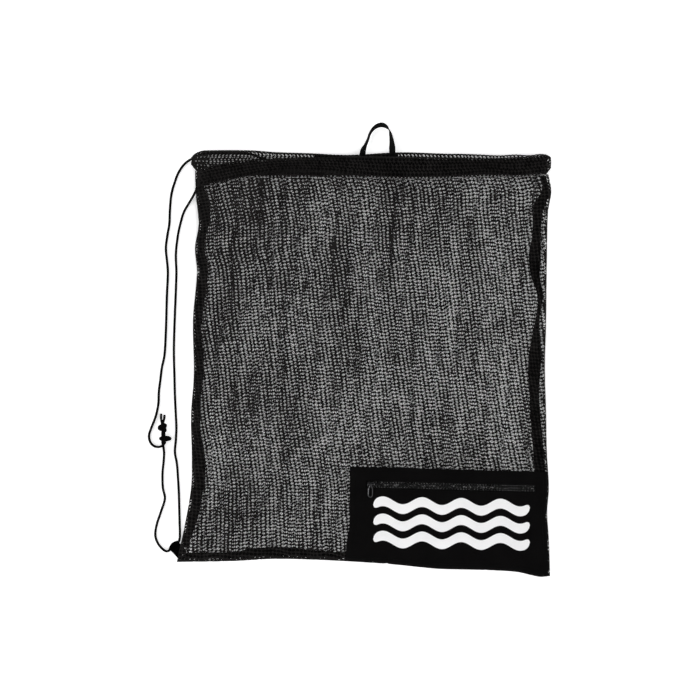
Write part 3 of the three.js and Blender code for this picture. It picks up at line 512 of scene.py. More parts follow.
def free_cord(name, route, node):
    """A stretch of drawcord along a route, and the line it follows in metres."""
    line = even_steps(smooth_route(lying(route)), CORD_STEP)
    piece = make_piece(name, braided_tube(line, CORD_DIAMETER / 2), cord_finish, [node])
    print(name, "is", round(distances(line)[-1]), "mm long")
    return piece, (line * MM).tolist()


outer_cord, outer_path = free_cord("outer_cord", CORD_OUTER, "cord_outer")
inner_cord, inner_path = free_cord("inner_cord", CORD_INNER, "cord_inner")
lower_cord, lower_path = free_cord("lower_cord", CORD_LOWER, "cord_lower")

# %% [markdown]
# ## Knots
# The two ends of the cord are tied together in a tight overhand knot with two short tails, and a second,
# smaller knot sits just below it. An overhand knot pulled tight is close to a trefoil, the simplest closed
# knot, which has a short formula in sines. Sculpted turns would take longer and would easily run through
# each other. The tails and necks are short tubes that run into the knot, where the turns hide their ends.

# %% Knot shapes
KNOT_STEP = 0.8
KNOT_TURN = 0.5
STRAND_RADIUS = 2.2


def overhand_turns(centre, size, rise, lean):
    """The line of a trefoil knot about a centre, leaning from level by an angle in degrees."""
    t = np.linspace(0, 2 * np.pi, 12 * int(size * 7) + 1)
    turns = np.stack([size * (np.sin(t) + 2 * np.sin(2 * t)), size * (np.cos(t) - 2 * np.cos(2 * t)),
                      -rise * np.sin(3 * t)], 1)
    tilt = np.array(Matrix.Rotation(math.radians(lean), 3, "X") @ Matrix.Rotation(KNOT_TURN, 3, "Z"))
    return even_steps(turns @ tilt.T + np.array(centre), KNOT_STEP)


def knot_strand(route):
    """Blocks for a short end of cord that runs into a knot."""
    return braided_tube(even_steps(smooth_route(route), KNOT_STEP), STRAND_RADIUS)


# %% Tie the knots
UPPER_TAILS = [
    [(-346, -136, 7), (-347.2, -128, 6.4), (-348.6, -121, 3.8), (-348.6, -113.4, 2.4)],
    [(-344.2, -136, 7.4), (-344.4, -128, 6.6), (-343, -121, 3.8), (-342.8, -115.6, 2.4)],
]
LOWER_ENDS = [
    [(-346, -155.6, 6.2), (-346, -149, 6.8), (-345.6, -142, 6.8)],
    [(-343, -155.6, 5.6), (-342.6, -149, 6.2), (-343.2, -142, 6.4)],
    [(-344, -153.4, 6), (-338, -153.6, 5.2), (-334, -155, 3.8), (-331.6, -157, 2.6)],
    [(-344, -159.4, 5), (-339, -159.4, 4.4), (-335, -158.4, 3), (-331.8, -157.2, 2.2)],
    [(-344, -156.4, 7), (-340, -156.4, 6.4), (-337, -156.6, 5), (-334.6, -157, 3.6)],
    [(-345.6, -155.6, 6), (-343.2, -158.6, 6.6), (-340.9, -161.7, 6.8)],
    [(-344.8, -155.6, 5.2), (-346.1, -159, 4.6), (-346.3, -162.2, 4)],
]
UPPER_RADIUS, LOWER_RADIUS = 2.1, 2.0
outer_turns = overhand_turns((-345.2, -137.6, 6.3), size=2.4, rise=2.1, lean=12)
inner_turns = overhand_turns((-345, -137.8, 6.1), size=1.7, rise=1.5, lean=190)
upper_blocks = braided_tube(outer_turns, UPPER_RADIUS) + braided_tube(inner_turns, UPPER_RADIUS)
for tail in UPPER_TAILS:
    upper_blocks += knot_strand(tail)
upper_knot = make_piece("upper_knot", upper_blocks, cord_finish, ["knot_upper"])
lower_turns = overhand_turns((-345, -156.4, 5.6), size=1.7, rise=1.8, lean=-14)
lower_blocks = braided_tube(lower_turns, LOWER_RADIUS)
for end in LOWER_ENDS:
    lower_blocks += knot_strand(end)
lower_knot = make_piece("lower_knot", lower_blocks, cord_finish, ["knot_lower"])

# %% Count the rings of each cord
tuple(outer_path[0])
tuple(inner_path[0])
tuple(lower_path[0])
print("cords:", [len(path) for path in (outer_path, inner_path, lower_path)], "rings")

# %% [markdown]
# ## The outline and the lie of the bag
# The net needs to know where the edges of the lying bag are and how high its front wall floats. Short
# tables give the edges, one row for each place that was measured, and a smooth curve runs through them.
# The front wall starts low at the seams, swells up between them and rises to the casing at the mouth.

# %% Edges of the bag
def smooth_table(rows):
    """A smooth curve through rows of place and value, read at any places."""
    at, value = np.array(rows, float).T
    before, after = np.r_[0, np.arange(len(at) - 1)], np.r_[np.arange(1, len(at)), len(at) - 1]
    slope = (value[after] - value[before]) / (at[after] - at[before])

    def read(place):
        """The curve's value at a place, held at its ends."""
        i = np.clip(np.searchsorted(at, place) - 1, 0, len(at) - 2)
        span = at[i + 1] - at[i]
        t = np.clip((place - at[i]) / span, 0, 1)
        start = value[i] * (1 + 2 * t) + slope[i] * span * t
        end = value[i + 1] * (3 - 2 * t) - slope[i + 1] * span * (1 - t)
        return start * (1 - t) ** 2 + end * t**2

    return read


# The rows hold y and x for the sides, and x and y for the bottom.
left_edge = smooth_table([
    (-371, -321), (-306, -307), (-243, -296.5), (-191, -295), (-117, -296.5), (-44, -291.5), (51, -293),
    (135, -286), (177, -289.5), (219, -283), (278, -288.5), (313, -289.5),
])
right_edge = smooth_table([
    (-396, 330), (-334, 328), (-285, 325), (-243, 328), (-180, 324.5), (-107, 323), (-33, 321), (42, 323),
    (156, 324.5), (240, 326.5), (276, 331.5), (305, 326),
])
bottom_edge = smooth_table([
    (-321, -371), (-232, -370), (-148, -366), (-78, -367.5), (-8, -371), (62, -376), (132, -383),
    (202, -385), (272, -388.5), (312, -397), (330, -396),
])
print("bag is", round(float(right_edge(0.0) - left_edge(0.0))), "mm wide at its middle")

# %% Edges of the casing
# The rows hold x, the lower edge and the upper edge.
FRONT_CASING = [
    (-285, 281, 313), (-250, 288, 322), (-205, 297, 329), (-160, 305, 331), (-120, 308, 333), (-60, 306, 334),
    (-15, 301, 335), (45, 296, 335), (130, 296, 334), (172, 299, 334), (225, 303, 333), (267, 299, 335),
    (325, 305, 339),
]
BACK_CASING = [
    (-296, 321.5, 335), (-292, 317, 340), (-288, 311, 343), (-280, 307, 346.5), (-272, 305, 348),
    (-190, 301, 348), (-150, 300, 345), (-90, 300, 343), (-22, 300, 340), (69, 300, 344.5), (153, 300, 342),
    (174, 300, 342), (209, 301, 340.6), (244, 301, 339), (270, 303, 340.6), (296, 304, 339.4),
    (314, 305, 341.8), (325, 305, 340.5),
]
CASING_DEPTH = 8.1
GAP = 0.3
MOUTH_ARCH, ARCH_REACH = 10, 310
front_low, front_high = (smooth_table([(row[0], row[k]) for row in FRONT_CASING]) for k in (1, 2))
back_low, back_high = (smooth_table([(row[0], row[k]) for row in BACK_CASING]) for k in (1, 2))


def front_casing_floor(x):
    """Underside of the front run of the casing, which arches over the mouth."""
    share = np.clip(np.asarray(x) / ARCH_REACH, -1, 1)
    return CASING_DEPTH + GAP + MOUTH_ARCH * np.cos(np.pi / 2 * share) ** 2


print("front casing arches", round(float(front_casing_floor(0.0)), 1), "mm up at its middle")

# %% Soft folds
FOLD_FADE, LEAN_SPAN = 70, 300
# The rows hold each fold's line, lean, lower end, upper end, height and width.
FOLDS = [
    (-232, 14, -300, 230, 2.2, 16), (-168, -10, -330, 260, 1.6, 18), (-104, 18, -250, 270, 2.4, 17),
    (-42, -8, -190, 260, 1.7, 20), (26, 12, -180, 270, 2.2, 17), (92, -14, -170, 260, 1.5, 21),
    (158, 10, -180, 270, 2.3, 17), (222, -12, -170, 250, 1.8, 18), (276, 6, -150, 210, 1.6, 16),
]


def ramp_up(t):
    """A smooth rise from 0 to 1."""
    t = np.clip(t, 0, 1)
    return t * t * (3 - 2 * t)


def fold_height(x, y):
    """Height of the soft lengthwise folds at any place."""
    total = 0
    for line, lean, low, high, height, width in FOLDS:
        offset = (x - line - lean * y / LEAN_SPAN) / width
        crest = height * np.exp(-(offset**2))
        total = total + crest * ramp_up((y - low) / FOLD_FADE) * ramp_up((high - y) / FOLD_FADE)
    return total


print("folds:", len(FOLDS), "along the front wall")

# %% Height of the front wall
NET_WALL = 1.2
SEAM_HEIGHT = NET_WALL + GAP
WALL_LOFT, LOFT_REACH = 9.5, 45
SEAM_STEP, STEP_REACH = 0.2, 2
TAB_CORNER, TAB_LIFT, TAB_REACH = (-313, -352), 3, 24
CASING_LIP, CASING_SLOPE = 2, 95


def mix(low, high, share):
    """A value that lies a share of the way from one to another."""
    return low + (high - low) * share


def nearness(*reaches):
    """Distance to the nearest of several edges, rounded where two of them meet."""
    return sum(np.maximum(reach, 1e-3) ** -4.0 for reach in reaches) ** -0.25


def front_underside(x, y):
    """Underside of the front wall at any place."""
    inward = nearness(x - left_edge(y), right_edge(y) - x, y - bottom_edge(x))
    loft = 1 - np.exp(-inward / LOFT_REACH)
    rise = mix(loft, 1 - np.exp(-inward / STEP_REACH), SEAM_STEP)
    from_tab = (x - TAB_CORNER[0]) ** 2 + (y - TAB_CORNER[1]) ** 2
    tab_lift = TAB_LIFT * np.exp(-from_tab / TAB_REACH**2)
    body = SEAM_HEIGHT + tab_lift + WALL_LOFT * rise + fold_height(x, y) * loft
    to_casing = ramp_up(1 - (front_low(x) - GAP - y) / CASING_SLOPE)
    return mix(body, front_casing_floor(x) + CASING_LIP, to_casing)


print("front wall floats", round(float(front_underside(0.0, 0.0)), 1), "mm up at its middle")

# %% [markdown]
# ## The net
# The walls are a warp-knit net: columns of looped yarn joined by slanted bridges, which leave rows of
# small eight-sided holes. A picture with transparent holes would look flat and throw no true shadow, so
# the net is real geometry. Each cell of a grid becomes a ring of eight faces between the middle of its
# yarns and the rim of its hole, with one slanted tie across. The middles are lifted and the rims lowered,
# which rounds the yarn. The ties of neighbouring columns slant opposite ways. The cloth of the front lies
# askew to the back, and the holes of the two layers drift in and out of line, which gives the streaks
# that the photo shows.

# %% Yarns of one cell
YARN_LIFT = {"crossing": 0.34, "side": 0.28, "rim": -0.24, "tie": -0.05}
HOLE = (0.928, 0.843)
HOLE_SPREAD = (0.84, 1.1)
TIE_WIDTH = 0.055
RING = [(-1, -1), (0, -1), (1, -1), (1, 0), (1, 1), (0, 1), (-1, 1), (-1, 0)]
RIM = [(-0.76, -0.72), (0, -1), (0.76, -0.72), (1, 0), (0.76, 0.72), (0, 1), (-0.76, 0.72), (-1, 0)]
TIE = [(-0.76, -0.8), (0.76, 0.8)]


def ring_faces():
    """Faces of one cell: from the ring to the rim all round, and the tie."""
    count = len(RING)
    faces = [(k, (k + 1) % count, count + (k + 1) % count, count + k) for k in range(count)]
    tie = 2 * count
    return np.array([*faces, (tie, tie + 2, tie + 3, tie + 1)])


print("faces of one cell:", len(ring_faces()))

# %% Knit a net over a grid
chance = np.random.default_rng(11)


def knit(spread, keep, hole, set_down):
    """A block of net: a ring of yarn and a slanted tie in each kept cell of a grid of flat places."""
    rows, columns = keep.shape
    corners = spread[:-1, :-1], spread[:-1, 1:], spread[1:, :-1], spread[1:, 1:]
    corners = [corner[keep] for corner in corners]
    size = np.broadcast_to(hole, (rows, columns, 2)) * chance.uniform(*HOLE_SPREAD, (rows, columns, 1))
    size = size[keep]
    slant = np.broadcast_to((-1.0) ** np.arange(columns), (rows, columns))[keep]

    def within(s, t, lift):
        """Points of every cell at places from -1 to 1 across and along it."""
        s, t = (np.broadcast_to(np.asarray(v, float), slant.shape)[:, None] / 2 + 0.5 for v in (s, t))
        flat = mix(mix(corners[0], corners[1], s), mix(corners[2], corners[3], s), t)
        return set_down(flat, lift), flat

    lifts = [YARN_LIFT["crossing"], YARN_LIFT["side"]] * 4
    spots = [within(s, t, lift) for (s, t), lift in zip(RING, lifts)]
    spots += [within(s * size[:, 0], t * size[:, 1], YARN_LIFT["rim"]) for s, t in RIM]
    for s, t in TIE:
        for way in (-1, 1):
            across = s * size[:, 0] - way * slant * TIE_WIDTH
            along = (t * size[:, 1]) * slant + way * TIE_WIDTH
            spots.append(within(across, along, YARN_LIFT["tie"]))
    points, flat = (np.stack([spot[k] for spot in spots], 1) for k in (0, 1))
    faces = ring_faces()[None] + len(spots) * np.arange(len(points))[:, None, None]
    faces = faces.reshape(-1, 4)
    return points.reshape(-1, 3), faces, flat.reshape(-1, 2)[faces]


# %% Unevenness of the cloth
WAVES = 18


def waver(x, y, size, seed, width=13, length=50):
    """A soft unevenness over the cloth, in streaks that run along it."""
    waves = np.random.default_rng(seed)
    total = 0
    for _ in range(WAVES):
        across, along = waves.normal(0, 1 / width), waves.normal(0, 1 / length)
        total = total + np.sin(x * across + y * along + waves.uniform(0, 2 * np.pi))
    return size / math.sqrt(WAVES / 2) * total


# %% Crossings of a wall
PANEL_WIDTH, PANEL_LENGTH = PANEL = np.array((637.0, 693.0))
SPARE_CELLS = 4
CHEVRON, ZIGZAG = 0.8, 0.35
ROW_DRIFT, COLUMN_DRIFT = 1.0, 0.7
ROW_JITTER, COLUMN_JITTER = 0.65, 0.35


def wall_cells(pitch, rise, lean, seed):
    """Flat places of a wall's crossings; rise is the slope of its rows and how that changes."""
    steep, ease = rise
    spare_columns = int(abs(lean) * PANEL_LENGTH / 2 / pitch[0]) + SPARE_CELLS
    spare_rows = int((abs(steep) / 2 + abs(ease) / 8) * PANEL_WIDTH / pitch[1]) + SPARE_CELLS
    i = np.arange(-spare_columns, PANEL_WIDTH / pitch[0] + spare_columns)[None]
    j = np.arange(-spare_rows, PANEL_LENGTH / pitch[1] + spare_rows)[:, None]
    side = (i * pitch[0] - lean * (j * pitch[1] - PANEL_LENGTH / 2)) / PANEL_WIDTH - 0.5
    row = j * pitch[1] + PANEL_WIDTH * (steep * side + ease * side**2 / 2) + CHEVRON * (-1.0) ** i
    column = i * pitch[0] - lean * (row - PANEL_LENGTH / 2) + ZIGZAG * (-1.0) ** j
    row_drift = waver(column, row, ROW_DRIFT, seed)
    column_drift = waver(column, row, COLUMN_DRIFT, seed + 1)
    row = row + row_drift + chance.normal(0, ROW_JITTER, row.shape)
    column = column + column_drift + chance.normal(0, COLUMN_JITTER, column.shape)
    return np.stack([column, row], -1)


# %% Lay out the net of a wall
HEM_LOW, HEM_HIGH = np.array((0, -1.2)), PANEL + (1.4, 0)
HEM_MARGIN = 0.4
# The rows hold the size, seed, width and length of each set of streaks.
SLACK_STREAKS = [(0.05, 23, 4.2, 90), (0.022, 24, 22, 50)]
RIGHT_SLACK = 0.06
TOP_TIGHT, TOP_START = 0.035, 0.7
SEWN_LEFT, SEWN_RIGHT, SEWN_BOTTOM = 4, 0.8, 8
SEAM_HOLE, WIDEST_HOLE = 0.4, 0.95


def cell_middles(spread):
    """The middle of each cell of a grid."""
    return (spread[:-1, :-1] + spread[:-1, 1:] + spread[1:, :-1] + spread[1:, 1:]) / 4


def wall_net(place, pitch, rise, lean, seed):
    """The net of one wall, ready to knit: its grid, the cells to keep, their holes and their place."""
    spread = wall_cells(pitch, rise, lean, seed)
    middle = cell_middles(spread)
    margin = HEM_MARGIN * np.array(pitch)
    keep = ((middle > HEM_LOW - margin) & (middle < HEM_HIGH + margin)).all(-1)
    across, up = middle.transpose(2, 0, 1)
    slack = sum(waver(across, up, *row) for row in SLACK_STREAKS)
    tight = TOP_TIGHT * ramp_up((up / PANEL_LENGTH - TOP_START) * 4)
    slack = slack + RIGHT_SLACK * (2 * across / PANEL_WIDTH - 1) - tight
    sewn = np.minimum.reduce([across / SEWN_LEFT, (PANEL_WIDTH - across) / SEWN_RIGHT, up / SEWN_BOTTOM])
    hole = np.array(HOLE) * ((1 + slack) * mix(SEAM_HOLE, 1, ramp_up(sewn)))[..., None]

    def set_down(flat, lift):
        """Flat places put where the wall lies."""
        x, y, z = place(*(flat / PANEL).T)
        return np.stack([x, y, z + lift], -1)

    return np.clip(spread, HEM_LOW, HEM_HIGH), keep, np.minimum(hole, WIDEST_HOLE), set_down


# %% Where the two walls lie
POCKET_LINE = [(-18.5, -204.8), (326.5, -214.4)]
POCKET_SHARE = 0.25
WALL_ROUNDS = 12


def pocket_line(x):
    """The straight line of the pocket's top edge, carried on across the whole wall."""
    (x0, y0), (x1, y1) = POCKET_LINE
    return mix(y0, y1, (x - x0) / (x1 - x0))


def front_place(u, v):
    """Place on the front wall for shares across and along it; x and y settle in a few rounds."""
    y = np.zeros_like(u)
    for _ in range(WALL_ROUNDS):
        x = mix(left_edge(y), right_edge(y), u)
        below = mix(bottom_edge(x), pocket_line(x), v / POCKET_SHARE)
        above = mix(pocket_line(x), front_low(x) - GAP, (v - POCKET_SHARE) / (1 - POCKET_SHARE))
        y = np.where(v < POCKET_SHARE, below, above)
    return x, y, front_underside(x, y) + NET_WALL / 2


def back_place(u, v):
    """Place on the back wall, which lies flat on the floor."""
    y = np.zeros_like(u)
    for _ in range(WALL_ROUNDS):
        x = mix(left_edge(y), right_edge(y), u)
        y = mix(bottom_edge(x), back_low(x) - GAP, v)
    return x, y, np.full_like(x, NET_WALL / 2)


# %% Knit the two walls
front_layout = wall_net(front_place, pitch=(6.5, 6.35), rise=(-0.07, 0.0), lean=0.135, seed=21)
front_net = make_piece("front_net", [knit(*front_layout)], net_finish, ["front_panel"])
back_layout = wall_net(back_place, pitch=(8.0, 6.25), rise=(0.33, -0.28), lean=0.19, seed=31)
back_net = make_piece("back_net", [knit(*back_layout)], net_finish, ["back_panel"])

# %% [markdown]
# ## The casing
# Round the mouth the net is folded into a flat tunnel for the drawcord. The back run lies on the floor.
# The front run arches over the mouth and folds down at the right to meet it. Each is the same net, knitted
# round a section with a flat top, a flat underside and two round ends. At the left, where the cord comes
# out, the cloth is drawn together and its holes close up.

# %% Section of the casing
AROUND_CELLS = 13
AROUND = 80.0


def casing_section(low, high, share, lift=0.0):
    """Sideways place and height on the flat round section of the casing, at shares of the way round."""
    radius = (CASING_DEPTH - NET_WALL) / 2
    low, high = low + NET_WALL / 2 + radius, high - NET_WALL / 2 - radius
    flat = high - low
    far = share * (2 * flat + 2 * np.pi * radius)
    first, second = (far - flat) / radius, (far - 2 * flat) / radius - np.pi
    stretches = [far < flat, first < np.pi, second < 0]
    reach = radius + lift
    back_along = high - (far - flat - np.pi * radius)
    sides = [low + far, high + reach * np.sin(first), back_along]
    y = np.select(stretches, sides, low - reach * np.sin(second))
    rise = np.select(stretches, [reach, reach * np.cos(first), -reach], -reach * np.cos(second))
    return y, rise


# %% Net of a run of casing
CASING_PITCH, CASING_SPARE = 6.5, 10
CASING_ZIGZAG, CASING_SLANT, CASING_JITTER = 0.9, 2.3, 0.3
CASING_DRIFT, ROUND_STEP = 0.9, 7.0
CASING_HOLE = (0.935, 0.875)
END_MARGIN = 2.6
SEWN_EDGE = 2.2
# The rows hold a share of the hole that closes, where that starts, and over what length it grows.
CROWDING = [(0.08, -200, 50), (0.22, -262, 20)]


def casing_net(seed, sewn_ends, *run):
    """A block of net round a run of casing, given its x, height, turn, low and high edge at stations."""
    run = [np.asarray(values, float) for values in run]
    far = distances(np.stack([run[0], run[1], 0 * run[0]], -1))

    def set_down(flat, lift):
        """Flat places put round the casing."""
        x, z, turn, low, high = (np.interp(flat[..., 0], far, values) for values in run)
        y, rise = casing_section(low, high, flat[..., 1] / AROUND, lift)
        return np.stack([x + rise * np.sin(turn), y, z + rise * np.cos(turn)], -1)

    i = np.arange(-CASING_SPARE, far[-1] / CASING_PITCH + CASING_SPARE)[:, None]
    j = np.arange(AROUND_CELLS + 1)[None]
    along = i * CASING_PITCH + CASING_ZIGZAG * (-1.0) ** j + CASING_SLANT * j
    along = along + chance.normal(0, CASING_JITTER, (len(i), AROUND_CELLS + 1))
    along = along + waver(along, ROUND_STEP * j, CASING_DRIFT, seed)
    spread = np.stack([along, AROUND * (1 - j / AROUND_CELLS) + 0 * along], -1)
    middle = cell_middles(spread)
    reach = middle[..., 0]
    keep = (reach > -END_MARGIN) & (reach < far[-1] + END_MARGIN)
    x, low, high = (np.interp(reach, far, run[k]) for k in (0, 3, 4))
    y = set_down(middle, 0)[..., 1]
    sewn = np.minimum.reduce([(y - low) / SEWN_EDGE, (high - y) / SEWN_EDGE, reach / sewn_ends[0],
                              (far[-1] - reach) / sewn_ends[1]])
    crowded = sum(share * ramp_up((start - x) / length) for share, start, length in CROWDING)
    hole = np.array(CASING_HOLE) * (mix(SEAM_HOLE, 1, ramp_up(sewn)) - crowded)[..., None]
    return knit(np.clip(spread, 0, (far[-1], AROUND)), keep, hole, set_down)


# %% Back run of the casing
BACK_LEFT, FRONT_LEFT, CASING_RIGHT = -296, -285, 325
STATIONS = 120
at = np.linspace(BACK_LEFT, CASING_RIGHT - GAP, STATIONS)
back_casing_net = make_piece("back_casing_net", [casing_net(
    41, (9, 9), at, 0 * at + CASING_DEPTH / 2, 0 * at, back_low(at), back_high(at)
)], net_finish, ["back_casing"])

# %% Front run of the casing
PINCH_LOW, PINCH_HIGH = 8, 3
at = np.linspace(FRONT_LEFT, CASING_RIGHT, STATIONS)
fold = np.linspace(0, 1, 9)[1:]
bend = (CASING_DEPTH + GAP) / 2
fold_low = mix(front_low(CASING_RIGHT), back_low(CASING_RIGHT), fold) + PINCH_LOW * np.sin(np.pi * fold)
fold_high = mix(front_high(CASING_RIGHT), back_high(CASING_RIGHT), fold) - PINCH_HIGH * np.sin(np.pi * fold)
front_casing_net = make_piece("front_casing_net", [casing_net(
    43, (9, 22),
    np.r_[at, CASING_RIGHT + bend * np.sin(np.pi * fold)],
    np.r_[front_casing_floor(at) + CASING_DEPTH / 2, CASING_DEPTH + GAP / 2 + bend * np.cos(np.pi * fold)],
    np.r_[0 * at, np.pi * fold],
    np.r_[front_low(at), fold_low],
    np.r_[front_high(at), fold_high],
)], net_finish, ["front_casing"])

# %% Cord inside the casing
BACK_CORD_HEIGHT, FRONT_CORD_LIFT = 4.6, 3.5
HIDDEN_CORD_STEP = 1.4
CORD_TURN_Y = 321
CASING_CORD_BACK = [
    (-295.4, 332.1), (-284, 338), (-272, 341.5), (-230, 342.5), (-193, 340.5), (-165, 331), (-110, 322),
    (0, 318), (150, 318), (260, 320), (314, 321), (CASING_RIGHT, CORD_TURN_Y),
]
CASING_CORD_FRONT = [
    (CASING_RIGHT, CORD_TURN_Y), (314, 321), (260, 318), (150, 316), (46, 316), (-60, 320), (-160, 318),
    (-205, 313), (-250, 305), (-284.4, 297.2),
]
back_run = [(x, y, BACK_CORD_HEIGHT) for x, y in CASING_CORD_BACK]
front_run = [(x, y, float(front_casing_floor(x)) + FRONT_CORD_LIFT) for x, y in CASING_CORD_FRONT]
rise = (front_run[0][2] - back_run[-1][2]) / 2
turn = [(CASING_RIGHT + rise * math.sin(math.pi * share), CORD_TURN_Y,
         back_run[-1][2] + rise * (1 - math.cos(math.pi * share))) for share in (0.25, 0.5, 0.75)]
line = even_steps(smooth_route(back_run + turn + front_run), HIDDEN_CORD_STEP)
make_piece("cord_in_casing", braided_tube(line, CORD_DIAMETER / 2), cord_finish, ["casing_cord"])

# %% [markdown]
# ## Tapes inside the casing and along the seams
# A black tape lines each run of the casing and shows through the net as the dark band at the mouth, with a
# second strip behind the feet of the hang loop. The raw edges of the side and bottom seams are bound with
# narrower tape inside the bag. Tape is a flat strip, so a grid of points with a Solidify modifier is
# enough, with edges that wander a little as sewn tape does.

# %% Strips of tape
TAPE_STEPS = 6


def solid_cloth(piece, thickness):
    """Gives a sheet its thickness in millimetres, half to each side."""
    modifier = piece.modifiers.new("thickness", "SOLIDIFY")
    modifier.thickness = thickness * MM
    modifier.offset = 0
    return piece


def line_of(x, y):
    """A line of places from their x and y."""
    return np.stack([x, y], -1)


def at_height(height):
    """A level surface, to lay tape or thread on."""
    return lambda x, y: 0 * x + height


def tape_strip(first, second, height):
    """A block of tape between two edges, each a line of places, at heights given for places."""
    share = np.linspace(0, 1, TAPE_STEPS + 1)[None, :, None]
    flat = mix(first[:, None], second[:, None], share)
    grid = np.concatenate([flat, height(flat[..., 0], flat[..., 1])[..., None]], -1)
    far = distances(first)
    width = np.linalg.norm(second - first, axis=1)
    laid = np.stack(np.broadcast_arrays(far[:, None], share[..., 0] * width[:, None]), -1)
    return sheet_block(grid, laid)


def wander(along, size, seed):
    """A small sideways drift along an edge, from a slow and a quick wave."""
    return size * (np.sin(along / 23 + seed) + 0.6 * np.sin(along / 9.7 + 2.1 * seed))


# %% Bands in the casing
BAND_MARGIN, BAND_WANDER = 4.2, 0.25
BAND_WIDTH, BAND_LEAST, BAND_BELOW = 25, 3, 6
BAND_STEPS, STRIP_STEPS = 150, 50
BAND_HEIGHT, STRIP_HEIGHT, FRONT_BAND_LIFT = SEAM_HEIGHT + 0.4, SEAM_HEIGHT + 1.4, 6.2
BAND_THICKNESS = 0.7
BACK_BAND_ENDS, STRIP_ENDS = (-272, 314), (-80, 66)
STRIP_INSETS = (10, 2.2)
x = np.linspace(*BACK_BAND_ENDS, BAND_STEPS)
low_edge = line_of(x, back_low(x) + BAND_MARGIN + wander(x, BAND_WANDER, 1))
width = np.clip(front_high(x) - BAND_BELOW - low_edge[:, 1], BAND_LEAST, BAND_WIDTH)
high_edge = low_edge + line_of(0 * x, width + wander(x, BAND_WANDER, 2))
strip_x = np.linspace(*STRIP_ENDS, STRIP_STEPS)
strip_edges = zip((front_high, back_high), STRIP_INSETS)
strip = [line_of(strip_x, edge(strip_x) - inset) for edge, inset in strip_edges]
back_band = make_piece("back_band_tape", [
    tape_strip(low_edge, high_edge, at_height(BAND_HEIGHT)),
    tape_strip(*strip, at_height(STRIP_HEIGHT)),
], tape_finish, ["back_band"])
x = np.linspace(FRONT_LEFT, CASING_RIGHT, BAND_STEPS)
low_edge = line_of(x, front_low(x) + BAND_MARGIN + wander(x, BAND_WANDER, 3))
high_edge = line_of(x, front_high(x) - BAND_MARGIN + wander(x, BAND_WANDER, 4))
front_band = make_piece("front_band_tape", [
    tape_strip(low_edge, high_edge, lambda x, y: front_casing_floor(x) + FRONT_BAND_LIFT),
], tape_finish, ["front_band"])
for band in (back_band, front_band):
    solid_cloth(band, BAND_THICKNESS)

# %% Bindings along the seams
# The rows hold the place along the edge, the inset from it and the width.
BINDING_LEFT = [
    (-347, 8.5, 8), (-340, 4.8, 10), (-325, 4, 12.5), (-290, 4, 17), (-255, 4, 17.3), (-220, 4, 19.2),
    (-185, 4, 19), (-150, 4, 13.8), (-115, 4, 12.4), (-80, 4, 11), (-45, 4, 12.7), (-10, 4, 14.5),
    (24, 4, 10.5), (59, 4, 12.2), (94, 4, 14), (129, 4, 15.7), (164, 4, 14.5), (200, 4, 11), (234, 4, 17),
    (257, 4, 18), (274, 4, 14), (286, 4, 12),
]
BINDING_RIGHT = [
    (-374, 4, 16), (-220, 3, 19), (-185, 5, 18), (-150, 5.5, 18.3), (-115, 8.9, 17), (-80, 9.7, 16.8),
    (-45, 7.6, 21), (-10, 4.5, 22), (24, 9.7, 12.3), (59, 9.4, 6.6), (94, 5, 9.6), (129, 10.6, 16),
    (164, 9, 20.5), (200, 10, 15), (234, 8.5, 16.5), (257, 4, 21), (270, 2.5, 15), (286, 2, 10), (303, 2, 9),
]
BINDING_BOTTOM = [
    (-317, 4, 2.4), (-310, 4, 6), (-304.6, 4, 9), (-298, 4, 10.5), (-246, 4, 11), (-211, 4, 12),
    (-194, 4, 15), (-123, 4, 15), (-106, 4, 13.5), (-36, 4, 10), (130, 4, 16), (304, 4, 16),
]
BINDING_STEPS, INNER_WANDER, OUTER_WANDER = 140, 0.35, 0.2
BINDING_HEIGHT, BINDING_THICKNESS = SEAM_HEIGHT + 0.8, 1.4


def binding(name, rows, edge, inward, upright, node):
    """A bound seam allowance that follows an edge at the insets and widths of a table."""
    inset, width = (smooth_table([(row[0], row[k]) for row in rows]) for k in (1, 2))
    along = np.linspace(rows[0][0], rows[-1][0], BINDING_STEPS)
    near = edge(along) + inward * (inset(along) + wander(along, OUTER_WANDER, len(name)))
    far = near + inward * (width(along) + wander(along, INNER_WANDER, 2 * len(name)))
    lines = [line_of(e, along) if upright else line_of(along, e) for e in (near, far)]
    if (inward > 0) != upright:
        lines.reverse()
    strip = tape_strip(*lines, at_height(BINDING_HEIGHT))
    return solid_cloth(make_piece(name, [strip], tape_finish, [node]), BINDING_THICKNESS)


bindings = [
    binding("left_binding", BINDING_LEFT, left_edge, 1, True, "binding_left"),
    binding("right_binding", BINDING_RIGHT, right_edge, -1, True, "binding_right"),
    binding("bottom_binding", BINDING_BOTTOM, bottom_edge, 1, False, "binding_bottom"),
]

# %% [markdown]
# ## The hang loop
# A narrow ribbon is sewn into the mouth with both ends and stands up in a loop. It lies flat at its feet,
# turns most of the way on edge up the left side, leans over at the top, stands on edge at the upper right
# and lies down again on its way to the right foot. Each row of the table holds a place on the middle of
# the ribbon and how far its width is turned from level there, in degrees, so the twist is part of the
# shape and not a trick of the light.

